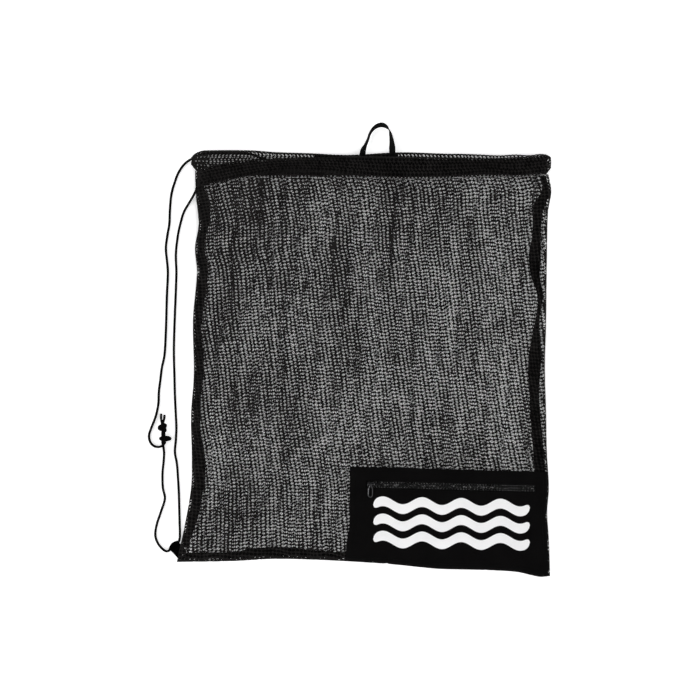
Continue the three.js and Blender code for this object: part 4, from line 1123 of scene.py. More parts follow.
# %% Hang loop ribbon
# The rows hold x, y, z and the turn.
HANG_LOOP = [
    (3.7, 309, 8.9, 0), (3.7, 325, 8.9, 0), (3.9, 343.5, 8.9, 24), (8.4, 355, 8.2, 62), (13.1, 366, 7, 70),
    (16.6, 376.5, 6.6, 72), (25.4, 387.5, 6.3, 62), (37.3, 391.5, 6, 52), (45.6, 387.8, 6.3, 70),
    (49.6, 383, 6.5, 88), (52, 376, 6.9, 70), (53.6, 368, 7.4, 57), (54.8, 358, 8.3, 38),
    (55.4, 346.5, 8.9, 0), (55.3, 325, 8.9, 0), (55.3, 309, 8.9, 0),
]
RIBBON_WIDTH, RIBBON_THICKNESS = 11, 0.9
middle = smooth_route([row[:3] for row in HANG_LOOP], 8)
stations = np.linspace(0, len(HANG_LOOP) - 1, len(middle))
turn = np.radians(smooth_table([(k, row[3]) for k, row in enumerate(HANG_LOOP)])(stations))[:, None]
ahead = np.gradient(middle, axis=0)
ahead /= np.linalg.norm(ahead, axis=1, keepdims=True)
level = np.stack([ahead[:, 1], -ahead[:, 0], 0 * turn[:, 0]], 1)
level /= np.linalg.norm(level, axis=1, keepdims=True)
across = level * np.cos(turn) + np.cross(ahead, level) * np.sin(turn)
shares = np.linspace(-0.5, 0.5, 9)
grid = middle[:, None] + across[:, None] * (shares * RIBBON_WIDTH)[None, :, None]
laid = np.stack(np.broadcast_arrays(distances(middle)[:, None], (shares * RIBBON_WIDTH)[None]), -1)
hang_ribbon = make_piece("hang_ribbon", [sheet_block(grid, laid)], ribbon_finish, ["hang_loop"])
solid_cloth(hang_ribbon, RIBBON_THICKNESS)
print("ribbon is", round(distances(middle)[-1]), "mm long")

# %% [markdown]
# ## The pocket
# The pocket is a panel of close black cloth sewn over the lower right of the front wall, with a window cut
# for the zip. Its grid is laid so that two of its rows run along the window and two of its columns meet
# the window's ends, and the faces between them are left out. A boolean cut would leave long thin faces.
# The cloth is lifted between its seams, drawn into faint puckers beside them, and rolled at the window.

# %% Edges of the pocket
ZIP_LEFT, ZIP_RIGHT = np.array((10.5, -235.4)), np.array((305.0, -243.3))
ZIP_LENGTH = float(np.linalg.norm(ZIP_RIGHT - ZIP_LEFT))
ZIP_AHEAD = (ZIP_RIGHT - ZIP_LEFT) / ZIP_LENGTH
WINDOW = 12.5
POCKET_INSET = 0.5
RIGHT_HEM, RIGHT_FRAY = 0.8, 0.5
BOTTOM_HEM, BOTTOM_FRAY = 0.4, 0.4
pocket_left = smooth_table([
    (-390, -25.5), (-345, -24.8), (-328, -22.6), (-312, -19.6), (-290, -18.7), (-210, -18.4),
])


def zip_line(x):
    """Middle of the zip at places across the bag."""
    return ZIP_LEFT[1] + (x - ZIP_LEFT[0]) * ZIP_AHEAD[1] / ZIP_AHEAD[0]


def pocket_right(y):
    """The pocket's right edge, a little ragged."""
    return right_edge(y) - POCKET_INSET - RIGHT_HEM - RIGHT_FRAY * np.sin(y / 1.9) * np.sin(y / 5.3)


def pocket_bottom(x):
    """The pocket's bottom edge, a little ragged."""
    return bottom_edge(x) + POCKET_INSET + BOTTOM_HEM + BOTTOM_FRAY * np.sin(x / 2.1) * np.sin(x / 6.1)


def pocket_reaches(x, y):
    """Distances from the four seams of the pocket."""
    return x - pocket_left(y), pocket_right(y) - x, y - pocket_bottom(x), pocket_line(x) - y


print("zip is", round(ZIP_LENGTH), "mm long")

# %% Lie of the pocket cloth
POCKET_LOFT, POCKET_REACH = 3.4, 5
POCKET_WALL, WALL_MIDDLE = 0.9, 0.5
PUCKER, PUCKER_REACH = 0.16, 7
ROLL, ROLL_MIDDLE, ROLL_WIDTH, ROLL_PAST = 0.45, 1.4, 1.3, 3
SOFT_WAVE, SOFT_RIPPLE = 0.3, 0.2
SOFT_START, SEAM_SETTLES, ZIP_SETTLES = 4, 25, 14


def pocket_underside(x, y):
    """Underside of the pocket cloth, close to the net at its seams and lifted between them."""
    nearest = np.maximum(np.minimum.reduce(pocket_reaches(x, y)), 0)
    return front_underside(x, y) + NET_WALL + GAP + POCKET_LOFT * (1 - np.exp(-nearest / POCKET_REACH))


def pocket_middle(x, y):
    """Middle of the pocket cloth with its puckers and the rolled edge of the window."""
    inside = nearness(*pocket_reaches(x, y))
    settled = ramp_up((inside - SOFT_START) / SEAM_SETTLES)
    soft = SOFT_WAVE * np.sin(x / 17 + 0.8 * np.sin(y / 31)) * np.sin(y / 26 + 0.7)
    soft = soft + SOFT_RIPPLE * np.sin((x + 2 * y) / 37)
    pucker = PUCKER * np.sin((x + y) / 2.3) * np.exp(-inside / PUCKER_REACH)
    off_zip = np.abs(y - zip_line(x)) - WINDOW / 2
    roll = ROLL * np.exp(-((np.maximum(off_zip, 0) - ROLL_MIDDLE) / ROLL_WIDTH) ** 2)
    roll = roll * ((x > ZIP_LEFT[0] - ROLL_PAST) & (x < ZIP_RIGHT[0] + ROLL_PAST))
    far_from_zip = ramp_up((off_zip - SOFT_START) / ZIP_SETTLES)
    return pocket_underside(x, y) + WALL_MIDDLE + soft * settled * far_from_zip + pucker + roll


# %% Rows and columns of the pocket cloth
LEFT_COLUMNS, WINDOW_COLUMNS, RIGHT_COLUMNS = 12, 70, 8
LOW_ROWS, HIGH_ROWS = 48, 12
POCKET_ROUNDS, FIRST_GUESS = 8, -240.0
EASE = 0.75


def eased(count):
    """Shares from 0 to 1 that crowd towards both ends."""
    t = np.linspace(0, 1, count + 1)
    return mix(t, ramp_up(t), EASE)


def window_low(x):
    """Lower edge of the window."""
    return zip_line(x) - WINDOW / 2


def window_high(x):
    """Upper edge of the window."""
    return zip_line(x) + WINDOW / 2


# %% Points of the pocket cloth
window_ends = [(end[0] - pocket_left(end[1])) / (pocket_right(end[1]) - pocket_left(end[1]))
               for end in (ZIP_LEFT, ZIP_RIGHT)]
u_lines = np.concatenate([eased(LEFT_COLUMNS)[:-1] * window_ends[0],
                          mix(*window_ends, np.linspace(0, 1, WINDOW_COLUMNS + 1))[:-1],
                          mix(window_ends[1], 1, eased(RIGHT_COLUMNS))])
bands = [(pocket_bottom, window_low, eased(LOW_ROWS)[:-1]),
         (window_low, window_high, np.array([0.0])),
         (window_high, pocket_line, eased(HIGH_ROWS))]
rows = []
for low, high, shares in bands:
    for share in shares:
        y = np.full(len(u_lines), FIRST_GUESS)
        for _ in range(POCKET_ROUNDS):
            x = mix(pocket_left(y), pocket_right(y), u_lines)
            y = mix(low(x), high(x), share)
        rows.append(np.stack([x, y, pocket_middle(x, y)], -1))
print("pocket grid:", len(rows), "rows of", len(u_lines), "points")

# %% Pocket cloth
grid = np.stack(rows)
points, faces, laid = sheet_block(grid, grid[..., :2])
row, column = np.divmod(faces[:, 0], len(u_lines))
cut = (row == LOW_ROWS) & (column >= LEFT_COLUMNS) & (column < LEFT_COLUMNS + WINDOW_COLUMNS)
pocket_cloth = make_piece("pocket_cloth", [(points, faces[~cut], laid[~cut])], pocket_finish,
                          ["pocket_panel"])
solid_cloth(pocket_cloth, POCKET_WALL)

# %% [markdown]
# ## The print on the pocket
# The pocket carries a broad white print. A heat transfer is a thin film pressed on the cloth, so it is a
# film of its own about a tenth of a millimetre above it. Here it shows plain rolling stripes, a common
# water ornament. Each stripe is a grid between two wave lines, with ends that taper to a round tip.

# %% White stripes
STRIPE_LEFT, STRIPE_RIGHT, STRIPE_STEPS = 22.0, 295.0, 190
STRIPE_MIDDLES, STRIPE_HALF = (-274.0, -304.0, -334.0), 8.5
STRIPE_TILT, TILT_MIDDLE = -0.02, 160
WAVE_HEIGHT, WAVE_LENGTH = 6.5, 68.25
FILM_LIFT = 0.58
print_finish = cloth_finish(
    "white_transfer_film", (0.80, 0.80, 0.81), grey(0.95),
    thread=0.4, slant=0.0, relief=0.06, lint=0.0, rough=(0.45, 0.65), specular=0.3,
)
x = np.linspace(STRIPE_LEFT, STRIPE_RIGHT, STRIPE_STEPS)
to_end = np.clip(np.minimum(x - STRIPE_LEFT, STRIPE_RIGHT - x) / STRIPE_HALF, 0, 1)
half = STRIPE_HALF * np.sqrt(np.clip(1 - (1 - to_end) ** 2, 1e-4, 1))
wave = WAVE_HEIGHT * np.sin(2 * np.pi * (x - STRIPE_LEFT) / WAVE_LENGTH)
across = np.linspace(-1, 1, 7)[None]
stripe_blocks = []
for stripe_middle in STRIPE_MIDDLES:
    y = stripe_middle + (x - TILT_MIDDLE) * STRIPE_TILT + wave
    flat = np.stack(np.broadcast_arrays(x[:, None], y[:, None] - across * half[:, None]), -1)
    height = pocket_middle(flat[..., 0], flat[..., 1]) + FILM_LIFT
    stripe_blocks.append(sheet_block(np.concatenate([flat, height[..., None]], -1), flat))
pocket_print = make_piece("pocket_print", stripe_blocks, print_finish)

# %% [markdown]
# ## The zip
# Two tapes meet in the window, each with a row of coil along its edge. A coil zip is one plastic thread
# wound in tight loops. Only the upper half of each loop shows, so each tooth here is a short bent rod,
# repeated along the tape with NumPy and joined in one mesh. The two rows are half a step apart, because
# their teeth hold each other. The coil carries painted glints: scattered patches of it are much paler, which
# stands in for light caught by its loops. The tapes have sparse pale specks in their weave.

# %% Zip tapes
TAPE_SEAT, TAPE_MIDDLE = 0.7, 0.4
ZIP_TAPE_REACH, ZIP_TAPE_SPARE, ZIP_TAPE_WALL = 10.0, 8, 0.7
OPEN_EDGE, CLOSED_EDGE = 1.7, 0.1
MEET_START, MEET_LENGTH = 4, 5
zip_tape_finish = cloth_finish(
    "black_zip_tape", grey(0.0005), grey(0.03),
    thread=1.3, slant=1.0, relief=0.35, grain=0.4, stops=(0.5, 0.72), lint=0.3, specular=0.01,
)


def zip_place(along, across):
    """Places at distances along the zip and across it."""
    along, across = np.broadcast_arrays(along, across)
    return (ZIP_LEFT[0] + along * ZIP_AHEAD[0] - across * ZIP_AHEAD[1],
            ZIP_LEFT[1] + along * ZIP_AHEAD[1] + across * ZIP_AHEAD[0])


along = np.linspace(-ZIP_TAPE_SPARE, ZIP_LENGTH + ZIP_TAPE_SPARE, 160)
inner_edge = mix(OPEN_EDGE, CLOSED_EDGE, ramp_up((along - MEET_START) / MEET_LENGTH))
tape_blocks = []
for side in (-1, 1):
    across = mix(side * inner_edge[:, None], side * ZIP_TAPE_REACH, np.linspace(0, 1, 6)[None])[:, ::side]
    x, y = zip_place(along[:, None], across)
    grid = np.stack([x, y, pocket_underside(x, y) - TAPE_SEAT - TAPE_MIDDLE], -1)[:, ::-1]
    laid = np.stack(np.broadcast_arrays(along[:, None], across), -1)[:, ::-1]
    tape_blocks.append(sheet_block(grid, laid))
zip_tapes = make_piece("zip_tapes", tape_blocks, zip_tape_finish, ["zip_tape"])
solid_cloth(zip_tapes, ZIP_TAPE_WALL)

# %% Coil finish
coil_finish, tree, shader = new_finish("black_zip_coil", roughness=0.4, specular=0.12)
place = add_node(tree, "ShaderNodeNewGeometry").outputs["Position"]
# Painted glints: this noise turns scattered patches of the black coil pale, standing in for light caught by
# its loops; it also varies roughness and bump.
painted_glint_patches = noise(tree, place, scale=380.0, detail=2.0)
coil_colour = shaded_colour(tree, painted_glint_patches, grey(0.0008), grey(0.25), stops=(0.57, 0.68))
tree.links.new(coil_colour, shader.inputs["Base Color"])
set_roughness(tree, shader, painted_glint_patches, (0.3, 0.6))
set_bump(tree, shader, painted_glint_patches, strength=0.3, relief=0.05)
print("finish:", coil_finish.name, len(tree.nodes), "nodes")

# %% Coil teeth
TOOTH_PITCH = 1.5
TOOTH_LINE = [(0.0, -0.5, 0.75), (0.1, 0.5, 1.45), (0.25, 1.5, 1.35), (0.4, 2.2, 0.55)]
TOOTH_SWELL = (0.75, 1, 1, 0.8)
TOOTH_RADIUS, TOOTH_SIDES = 0.5, 6
FIRST_TOOTH, LAST_TOOTH = 10, 2.5
tooth = np.array(TOOTH_LINE)
ahead, side, up = carried_frames(tooth)
angle = np.linspace(0, 2 * np.pi, TOOTH_SIDES, endpoint=False)[:, None]
swell = np.array(TOOTH_SWELL)[:, None, None]
outward = np.cos(angle) * side[:, None] + np.sin(angle) * up[:, None]
tooth_points = (tooth[:, None] + TOOTH_RADIUS * swell * outward).reshape(-1, 3)
tooth_faces, _ = grid_quads(len(tooth), TOOTH_SIDES, closed=True)
coil_blocks = []
for flank, shift in ((-1, 0), (1, TOOTH_PITCH / 2)):
    starts = np.arange(FIRST_TOOTH + shift, ZIP_LENGTH - LAST_TOOTH, TOOTH_PITCH)
    along = (starts[:, None] + tooth_points[None, :, 0]).ravel()
    across = np.tile(flank * tooth_points[:, 1], len(starts))
    x, y = zip_place(along, across)
    z = pocket_underside(x, y) - TAPE_SEAT + GAP + np.tile(tooth_points[:, 2], len(starts))
    first_points = len(tooth_points) * np.arange(len(starts))[:, None, None]
    faces = (tooth_faces[None, :, ::flank] + first_points).reshape(-1, 4)
    flat = np.stack([along, across], -1)
    coil_blocks.append((np.stack([x, y, z], -1), faces, flat[faces]))
make_piece("zip_coil", coil_blocks, coil_finish, ["zip_chain"])

# %% [markdown]
# ## The slider and its pull
# The slider is die-cast metal with a thin glossy black coat: two plates with rounded edges on a post, and
# a crown bar that carries the pull. Light catches the rounded edges, so each plate is drawn as an outline,
# extruded and bevelled with bmesh. The pull's rim slopes up to its face, and the face is sunk in the
# middle. The pull hangs on the bar and rides on its own body, so it swings with the joint. Both are drawn
# about the pivot that the frame gives, with the same turn as the zip.

# %% Coated metal finish
metal_finish, tree, shader = new_finish("black_painted_metal", roughness=0.2, specular=0.5, metallic=1.0)
place = add_node(tree, "ShaderNodeNewGeometry").outputs["Position"]
peel = noise(tree, place, scale=700.0, detail=3.0)
rubbed = noise(tree, place, scale=160.0, detail=4.0)
metal_colour = shaded_colour(tree, rubbed, (0.045, 0.045, 0.047), (0.075, 0.075, 0.078))
tree.links.new(metal_colour, shader.inputs["Base Color"])
set_roughness(tree, shader, rubbed, (0.1, 0.17))
set_bump(tree, shader, peel, strength=0.25, relief=0.04)
print("finish:", metal_finish.name, len(tree.nodes), "nodes")

# %% Bevelled plates
def plate(outline, low, high, bevel, slope=None, recess=None):
    """A bmesh plate between two heights, with rounded edges, and a sloped rim and a sunk face if asked."""
    shape = bmesh.new()
    face = shape.faces.new([shape.verts.new((x, y, low)) for x, y in outline])
    raised = bmesh.ops.extrude_face_region(shape, geom=[face])["geom"]
    upper = [part for part in raised if isinstance(part, bmesh.types.BMVert)]
    bmesh.ops.translate(shape, vec=(0, 0, high - low), verts=upper)
    bmesh.ops.recalc_face_normals(shape, faces=shape.faces[:])
    rims = [edge for edge in shape.edges if abs(edge.verts[0].co.z - edge.verts[1].co.z) < 1e-6]
    bmesh.ops.bevel(shape, geom=rims, offset=bevel, segments=3, profile=0.5, affect="EDGES")
    top = max(shape.faces, key=lambda f: f.calc_center_median().z * 10 + f.calc_area())
    if slope:
        bmesh.ops.inset_region(shape, faces=[top], thickness=slope[0], depth=slope[1])
    if recess:
        bmesh.ops.inset_region(shape, faces=[top], thickness=recess[0])
        bmesh.ops.inset_region(shape, faces=[top], thickness=recess[1], depth=-recess[1])
    return shape


def bmesh_block(shape):
    """A block of triangles, like the other blocks, from a bmesh."""
    bmesh.ops.triangulate(shape, faces=shape.faces[:])
    shape.verts.index_update()
    points = np.array([v.co for v in shape.verts])
    faces = np.array([[v.index for v in face.verts] for face in shape.faces])
    shape.free()
    return points, faces, points[faces][..., :2]


# %% Place of the slider and the pull
PIVOT = np.array(frame["joints"][0]["pos_m"]) / MM
ZIP_TURN = math.atan2(ZIP_AHEAD[1], ZIP_AHEAD[0])
FLAT_WEIGHT = 90


def placed(blocks, droop=0.0, lift=0.0):
    """Blocks drawn about the pivot, turned and moved to their place on the zip."""
    turn = np.array(Matrix.Rotation(ZIP_TURN, 3, "Z") @ Matrix.Rotation(math.radians(droop), 3, "X"))
    return [((points + (0, 0, lift)) @ turn.T + PIVOT, faces, flat) for points, faces, flat in blocks]


def keep_flats(piece):
    """Shades the rounded edges smooth and the broad faces flat."""
    piece.modifiers.new("flat faces", "WEIGHTED_NORMAL").weight = FLAT_WEIGHT


print("pivot in mm:", PIVOT.round(1).tolist())

# %% Slider
CROWN_HEIGHT, CROWN_RADIUS, CROWN_STEP = 6.1, 0.8, 0.35
SHIELD = [(-5.5, -2.0), (-4.6, -3.5), (-3.2, -4.0), (2.6, -3.7), (4.6, -3.2), (5.5, -2.2),
          (5.5, 2.2), (4.6, 3.2), (2.6, 3.7), (-3.2, 4.0), (-4.6, 3.5), (-5.5, 2.0)]
POST = [(-5.4, -1.1), (-2.6, -0.9), (-2.6, 0.9), (-5.4, 1.1)]
CROWN = [(-3.5, 0, 3.2), (-3.75, 0, 4.6), (-3.3, 0, 5.75), (-2.4, 0, 6.1), (2.4, 0, 6.1), (3.3, 0, 5.75),
         (3.75, 0, 4.6), (3.5, 0, 3.2)]
slider_blocks = [
    bmesh_block(plate(SHIELD, low=2.6, high=3.8, bevel=0.58)),
    bmesh_block(plate(SHIELD, low=-2.1, high=-1.1, bevel=0.3)),
    bmesh_block(plate(POST, low=-1.4, high=3.0, bevel=0.2)),
    *braided_tube(even_steps(smooth_route(CROWN), CROWN_STEP), CROWN_RADIUS),
]
slider_body = make_piece("slider_body", placed(slider_blocks, lift=-CROWN_HEIGHT), metal_finish,
                         ["zip_slider"])
keep_flats(slider_body)

# %% Outline of the pull
PULL_LENGTH, PULL_WIDTH, PULL_TOP = 23.0, 8.5, -1.3
TIP_RADIUS, TIP_START = PULL_WIDTH / 2, -PULL_LENGTH + PULL_WIDTH / 2
half_width = smooth_table([(-23, 4.25), (-9, 4.25), (-7.4, 4.1), (-4.5, 2.75), (-2.4, 2.2), (-1.3, 2.2)])
side_line = [(float(half_width(y)), y) for y in np.linspace(PULL_TOP, TIP_START, 15)]
tip = [(TIP_RADIUS * math.cos(a), TIP_START - TIP_RADIUS * math.sin(a))
       for a in np.linspace(0, math.pi, 15)[1:-1]]
tongue = side_line + tip + [(-x, y) for x, y in reversed(side_line)]
print("pull outline:", len(tongue), "points")

# %% Pull
# The rows hold the radius and the place along the bar of the eye's section.
EYE = [(1.1, -1.9), (1.1, 1.9), (1.3, 2.2), (1.7, 2.2), (1.9, 1.9), (1.9, -1.9), (1.7, -2.2), (1.3, -2.2)]
EYE_STEPS = 28
PULL_DROOP = 9.5
angle = np.linspace(0, 2 * np.pi, EYE_STEPS, endpoint=False)
eye_points = np.array([[(along, r * math.cos(a), r * math.sin(a)) for r, along in EYE] for a in angle])
eye_faces, _ = grid_quads(EYE_STEPS + 1, len(EYE), closed=True)
eye_faces = eye_faces % (EYE_STEPS * len(EYE))
eye_points = eye_points.reshape(-1, 3)
pull_plate = plate(tongue, low=-0.8, high=0.74, bevel=0.3, slope=(0.85, 0.46), recess=(0.5, 0.2))
pull_blocks = [bmesh_block(pull_plate), (eye_points, eye_faces, eye_points[eye_faces][..., :2])]
zip_pull = make_piece("pull_tongue", placed(pull_blocks, droop=PULL_DROOP), metal_finish,
                      ["zip_pull"], body="pull")
keep_flats(zip_pull)

# %% [markdown]
# ## The corner tab
# A short piece of tape is folded round the cord and its two ends are sewn into the lower left corner. Seen
# from the side it is a line that runs out, goes round the cord and comes back. That line is swept across
# the width of the tape, which is simpler than bending a flat strip.

# %% Corner tab
TAB_FOLD = np.array((-327.9, -341.6, 0.0))
TAB_TURN = math.radians(42.3)
TAB_WIDTH, TAB_THICKNESS = 20, 0.85
TAB_BULGE, BULGE_REACH = 3.2, 16
UP = np.array((0, 0, 1.0))
TAB_SECTION = [(-24, 0, 2.0), (-17, 0, 2.0), (-11, 0, 1.9), (-7, 0, 1.1), (-3.3, 0, 0.52), (-1.3, 0, 1.35),
               (-0.5, 0, 3.3), (-1.3, 0, 5.25), (-3.3, 0, 6.08), (-7, 0, 4.9), (-11, 0, 3.3), (-17, 0, 3.05),
               (-24, 0, 3.05)]
fold_along = np.array((math.cos(TAB_TURN), math.sin(TAB_TURN), 0.0))
fold_out = np.array((-math.sin(TAB_TURN), math.cos(TAB_TURN), 0.0))
section = smooth_route(TAB_SECTION, 6)
shares = np.linspace(-0.5, 0.5, 13)
grid = (TAB_FOLD + section[:, None, :1] * fold_out + section[:, None, 2:] * UP
        + (shares * TAB_WIDTH)[None, :, None] * fold_along)
bulge = TAB_BULGE * ramp_up((section[:, :1] + BULGE_REACH) / BULGE_REACH) * np.cos(np.pi * shares)[None]
grid = (grid + bulge[..., None] * fold_out)[:, ::-1]
laid = np.stack(np.broadcast_arrays(distances(section)[:, None], (shares * TAB_WIDTH)[None]), -1)[:, ::-1]
tab_tape = make_piece("tab_tape", [sheet_block(grid, laid)], tape_finish, ["corner_tab"])
solid_cloth(tab_tape, TAB_THICKNESS)

# %% [markdown]
# ## Stitches
# Seams are held by rows of stitches: short threads that lie on the cloth and dip into it at both ends. One
# stitch is a small four-sided bent rod. It is repeated along each seam line, a little uneven, and joined
# in one mesh for each group of seams, so that hundreds of stitches cost few objects. The zip has two pairs
# of rows: one on its tapes, whose thread carries painted glints, near white on some stitches and black on
# others, and one on the pocket cloth beside the window.

# %% Rows of stitches
STITCH_ARCH = np.array([(-0.5, -0.35), (-0.3, 0.12), (0.3, 0.12), (0.5, -0.35)])
STITCH_JITTER, STITCH_SIDES = 0.2, 4


def stitch_row(places, height, length=3.0, gap=1.2, thread=0.32):
    """A block of stitches along a line of places, lying at heights given for places."""
    line = np.column_stack([places, np.zeros(len(places))])
    far = distances(line)
    starts = np.arange(length, far[-1] - length / 2, length + gap)
    starts = starts + chance.uniform(-STITCH_JITTER, STITCH_JITTER, len(starts))
    along = starts[:, None] + STITCH_ARCH[None, :, 0] * length
    x, y = (np.interp(along, far, line[:, k]) for k in (0, 1))
    ahead = np.stack([x[:, -1] - x[:, 0], y[:, -1] - y[:, 0]], -1)
    ahead /= np.maximum(np.linalg.norm(ahead, axis=1, keepdims=True), 1e-6)
    middle = np.stack([x, y, height(x, y) + STITCH_ARCH[None, :, 1] + thread], -1)
    side = np.stack([-ahead[:, 1], ahead[:, 0], 0 * ahead[:, 0]], -1)[:, None]
    ring = np.stack([middle + thread * side, middle + thread * UP, middle - thread * side,
                     middle - thread * UP], 2)
    faces, _ = grid_quads(len(STITCH_ARCH), STITCH_SIDES, closed=True)
    first_points = len(STITCH_ARCH) * STITCH_SIDES * np.arange(len(starts))[:, None, None]
    faces = (faces[None] + first_points).reshape(-1, 4)[:, ::-1]
    points = ring.reshape(-1, 3)
    return points, faces, points[faces][..., :2]


# %% Seam stitches
SEAM_INSET, RIGHT_THREAD = 3, 0.2
SIDE_SEAM, BOTTOM_SEAM, CASING_SEAM = (-360, 275), (-312, 322), (-282, 322)
CASING_SINK, CASING_ROW_LOW, CASING_ROW_HIGH = 0.25, 3.4, 3.6
ROW_POINTS = 400


def on_front_net(x, y):
    """Top of the front wall."""
    return front_underside(x, y) + NET_WALL


def on_front_casing(x, y):
    """Top of the front casing, into which the stitches sink a little."""
    return front_casing_floor(x) + CASING_DEPTH - CASING_SINK


y = np.linspace(*SIDE_SEAM, ROW_POINTS)
x = np.linspace(*BOTTOM_SEAM, ROW_POINTS)
seam_stitches = make_piece("seam_stitches", [
    stitch_row(line_of(left_edge(y) + SEAM_INSET, y), on_front_net),
    stitch_row(line_of(right_edge(y) - SEAM_INSET, y), on_front_net, thread=RIGHT_THREAD),
    stitch_row(line_of(x, bottom_edge(x) + SEAM_INSET), on_front_net),
], thread_finish)
x = np.linspace(*CASING_SEAM, ROW_POINTS)
casing_stitches = make_piece("casing_stitches", [
    stitch_row(line_of(x, front_low(x) + CASING_ROW_LOW), on_front_casing),
    stitch_row(line_of(x, front_high(x) - CASING_ROW_HIGH), on_front_casing),
], thread_finish)

# %% Pocket stitches
POCKET_INSETS, POCKET_TOP = (2.5, 8.0), 0.42
POCKET_POINTS = 300
SIDE_ROW, TOP_ROW, BOTTOM_ROW = (-216, -366), (-20, 324), (-24, 323)


def on_pocket(x, y):
    """Top of the pocket cloth, into which the stitches sink a little."""
    return pocket_middle(x, y) + POCKET_TOP


pocket_rows = []
for inset in POCKET_INSETS:
    y = np.linspace(SIDE_ROW[0] - inset, SIDE_ROW[1] - inset / 2, POCKET_POINTS)
    pocket_rows.append(stitch_row(line_of(pocket_left(y) + inset, y), on_pocket))
    pocket_rows.append(stitch_row(line_of(pocket_right(y) - inset, y), on_pocket))
    x = np.linspace(TOP_ROW[0] + inset, TOP_ROW[1] - inset, POCKET_POINTS)
    pocket_rows.append(stitch_row(line_of(x, pocket_line(x) - inset), on_pocket))
    x = np.linspace(BOTTOM_ROW[0] + inset, BOTTOM_ROW[1] - inset, POCKET_POINTS)
    pocket_rows.append(stitch_row(line_of(x, pocket_bottom(x) + inset), on_pocket))
pocket_stitches = make_piece("pocket_stitches", pocket_rows, thread_finish)

# %% Zip stitches
WINDOW_ROW, TAPE_ROW = WINDOW / 2 + 1.8, 4.2
ZIP_ROW_START, ZIP_ROW_PAST = 10, 2
# Painted glints: sharp stops on the grain turn some stitches near white and leave the rest black, standing in
# for light caught by the thread.
zip_thread_finish = cloth_finish(
    "zip_thread_painted_glints", grey(0.001), grey(0.35),
    thread=0.25, slant=1.0, relief=0.05, grain=0.3, stops=(0.53, 0.68), specular=0.1,
)


def on_zip_tape(x, y):
    """Top of the zip's tapes."""
    return pocket_underside(x, y) - TAPE_SEAT


zip_rows, window_rows = [], []
x = np.linspace(ZIP_LEFT[0] + ZIP_ROW_START, ZIP_RIGHT[0] + ZIP_ROW_PAST, POCKET_POINTS)
for side in (-1, 1):
    window_line = line_of(x, zip_line(x) + side * WINDOW_ROW)
    window_rows.append(stitch_row(window_line, on_pocket, length=2.6, gap=2.4, thread=0.4))
    tape_line = line_of(x, zip_line(x) + side * TAPE_ROW)
    zip_rows.append(stitch_row(tape_line, on_zip_tape, length=2.0, gap=2.9, thread=0.4))
zip_stitches = make_piece("zip_stitches", zip_rows, zip_thread_finish)
window_stitches = make_piece("window_stitches", window_rows, thread_finish)

# %% Tab and ribbon stitches
# Each row of the tab runs between two places, given out from its fold and along it: a box and a cross.
TAB_ROWS = [((-23, -8.5), (-10.5, -8.5)), ((-23, 8.5), (-10.5, 8.5)), ((-10.5, -8.5), (-10.5, 8.5)),
            ((-22, -8), (-11, 8)), ((-22, 8), (-11, -8))]
TAB_TOP, RIBBON_TOP = 3.5, 9.3
RIBBON_FEET = (3.8, 55.25)
TACK_LOW, TACK_HIGH, TACK_STEP = 336.5, 341.5, 0.9
TACK_HALF, TACK_SKEW = 5, 0.4
tab_rows = []
for tab_row in TAB_ROWS:
    ends = [TAB_FOLD[:2] + out * fold_out[:2] + along * fold_along[:2] for out, along in tab_row]
    tab_rows.append(stitch_row(np.linspace(*ends, 30), at_height(TAB_TOP), length=2.2, gap=0.8))
for foot in RIBBON_FEET:
    for y in np.arange(TACK_LOW, TACK_HIGH, TACK_STEP):
        tack = np.linspace((foot - TACK_HALF, y), (foot + TACK_HALF, y + TACK_SKEW), 20)
        tab_rows.append(stitch_row(tack, at_height(RIBBON_TOP), length=2.4, gap=0.1, thread=0.25))
make_piece("tab_stitches", tab_rows, thread_finish)

# %% End of the pieces
print("pieces of the bag built")

# %% [markdown]
# ## Floor and light
# The photo shows the bag on pure white with hardly a shadow, as on a table that is lit from below. The
# floor here is pale and also glows softly: fully round the bag, so that the loop and the cords leave
# almost no shadow, and less under it, where it shows through the net. The world is bright at the sides,
# with two wide soft lamps there so that the cloth's relief still reads. It is dark overhead, because black
# cloth would mirror anything bright there into the camera.

# %% Floor finish
# Places and sizes of the stage are in metres.
BAG_MIDDLE, BAG_REACH = (0.016, -0.011, 0), (0.314, 0.357)
FLOOR_GLOW, UNDER_BAG, GLOW_EDGE = 0.5, 0.3, 0.012
floor_finish, tree, shader = new_finish("pale_paper_floor", roughness=0.9, specular=0.1)
place = add_node(tree, "ShaderNodeNewGeometry").outputs["Position"]
fibre = noise(tree, place, scale=60.0, detail=4.0)
tree.links.new(shaded_colour(tree, fibre, grey(0.95), grey(0.97)), shader.inputs["Base Color"])
offset = add_node(tree, "ShaderNodeVectorMath", {0: place, 1: BAG_MIDDLE}, operation="SUBTRACT").outputs[0]
aside = add_node(tree, "ShaderNodeVectorMath", {0: offset}, operation="ABSOLUTE").outputs[0]
aside = add_node(tree, "ShaderNodeSeparateXYZ", {"Vector": aside}).outputs
past = [map_range(tree, aside[k], edge - GLOW_EDGE, edge, UNDER_BAG) for k, edge in enumerate(BAG_REACH)]
tree.links.new(calc(tree, "MAXIMUM", *past), shader.inputs["Emission Color"])
shader.inputs["Emission Strength"].default_value = FLOOR_GLOW
set_bump(tree, shader, fibre, strength=0.05, relief=0.1)
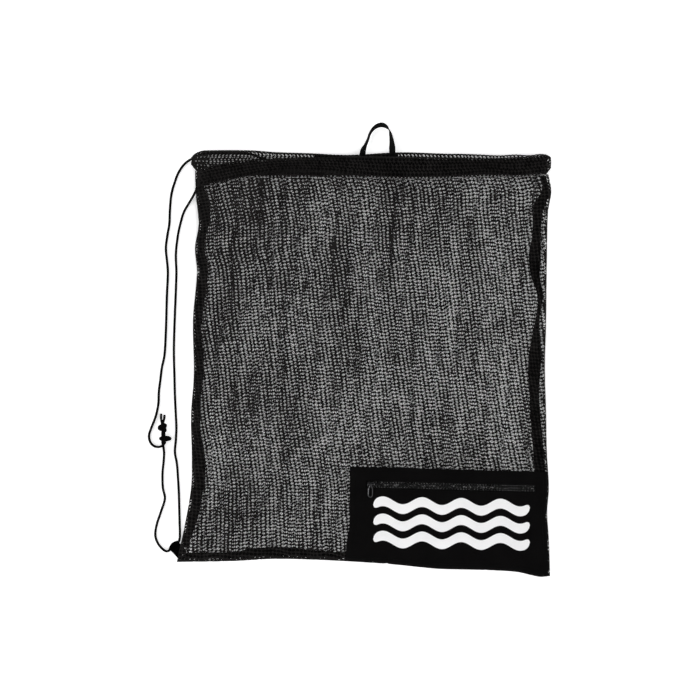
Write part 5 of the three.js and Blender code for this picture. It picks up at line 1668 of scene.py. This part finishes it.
print("finish:", floor_finish.name, len(tree.nodes), "nodes")

# %% Floor
FLOOR_HALF, FLOOR_DROP = 6, 0.0003
mesh = bpy.data.meshes.new("floor")
shape = bmesh.new()
bmesh.ops.create_grid(shape, x_segments=8, y_segments=8, size=FLOOR_HALF)
bmesh.ops.translate(shape, vec=(0, 0, -FLOOR_DROP), verts=shape.verts[:])
shape.to_mesh(mesh)
shape.free()
mesh.materials.append(floor_finish)
floor = add_object("floor", mesh)
floor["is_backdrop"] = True
print("floor:", len(mesh.polygons), "faces")

# %% Lights
SIDE_LIGHT, TOP_LIGHT = 1.20, 0.03
TOP_STARTS, TOP_ENDS = 0.70, 0.88
world = bpy.data.worlds.new("bright_room")
world.use_nodes = True
tree = world.node_tree
sky = tree.nodes["Background"]
sky.inputs["Color"].default_value = (1, 1, 1, 1)
ray = add_node(tree, "ShaderNodeTexCoord").outputs["Generated"]
height = add_node(tree, "ShaderNodeSeparateXYZ", {"Vector": ray}).outputs["Z"]
overhead = map_range(tree, height, TOP_STARTS, TOP_ENDS, SIDE_LIGHT, TOP_LIGHT)
tree.links.new(overhead, sky.inputs["Strength"])
scene.world = world
scene.view_settings.view_transform = "Standard"


def soft_lamp(name, place, size, power):
    """A wide square lamp that looks at the middle of the bag."""
    data = bpy.data.lights.new(name, "AREA")
    data.size = size
    data.energy = power
    lamp = add_object(name, data)
    lamp.location = place
    lamp.rotation_euler = (-Vector(place)).to_track_quat("-Z", "Y").to_euler()


soft_lamp("left_lamp", (-3.15, -0.9, 1.85), size=1.2, power=50)
soft_lamp("right_lamp", (3.0, 1.4, 2.2), size=2.6, power=20)
print("lamps:", len(bpy.data.lights))

# %% [markdown]
# Cloth may stand a little proud of its solid, but the dressed bag has to keep the size of the frame. Both
# boxes are printed, so that they can be compared after each render.

# %% Print the sizes and finish
low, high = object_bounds()
{"solids": [list(SOLIDS_LOW), list(SOLIDS_HIGH)], "dressed": [list(low), list(high)]}
print("dressed box in mm", box_sides(low, high))
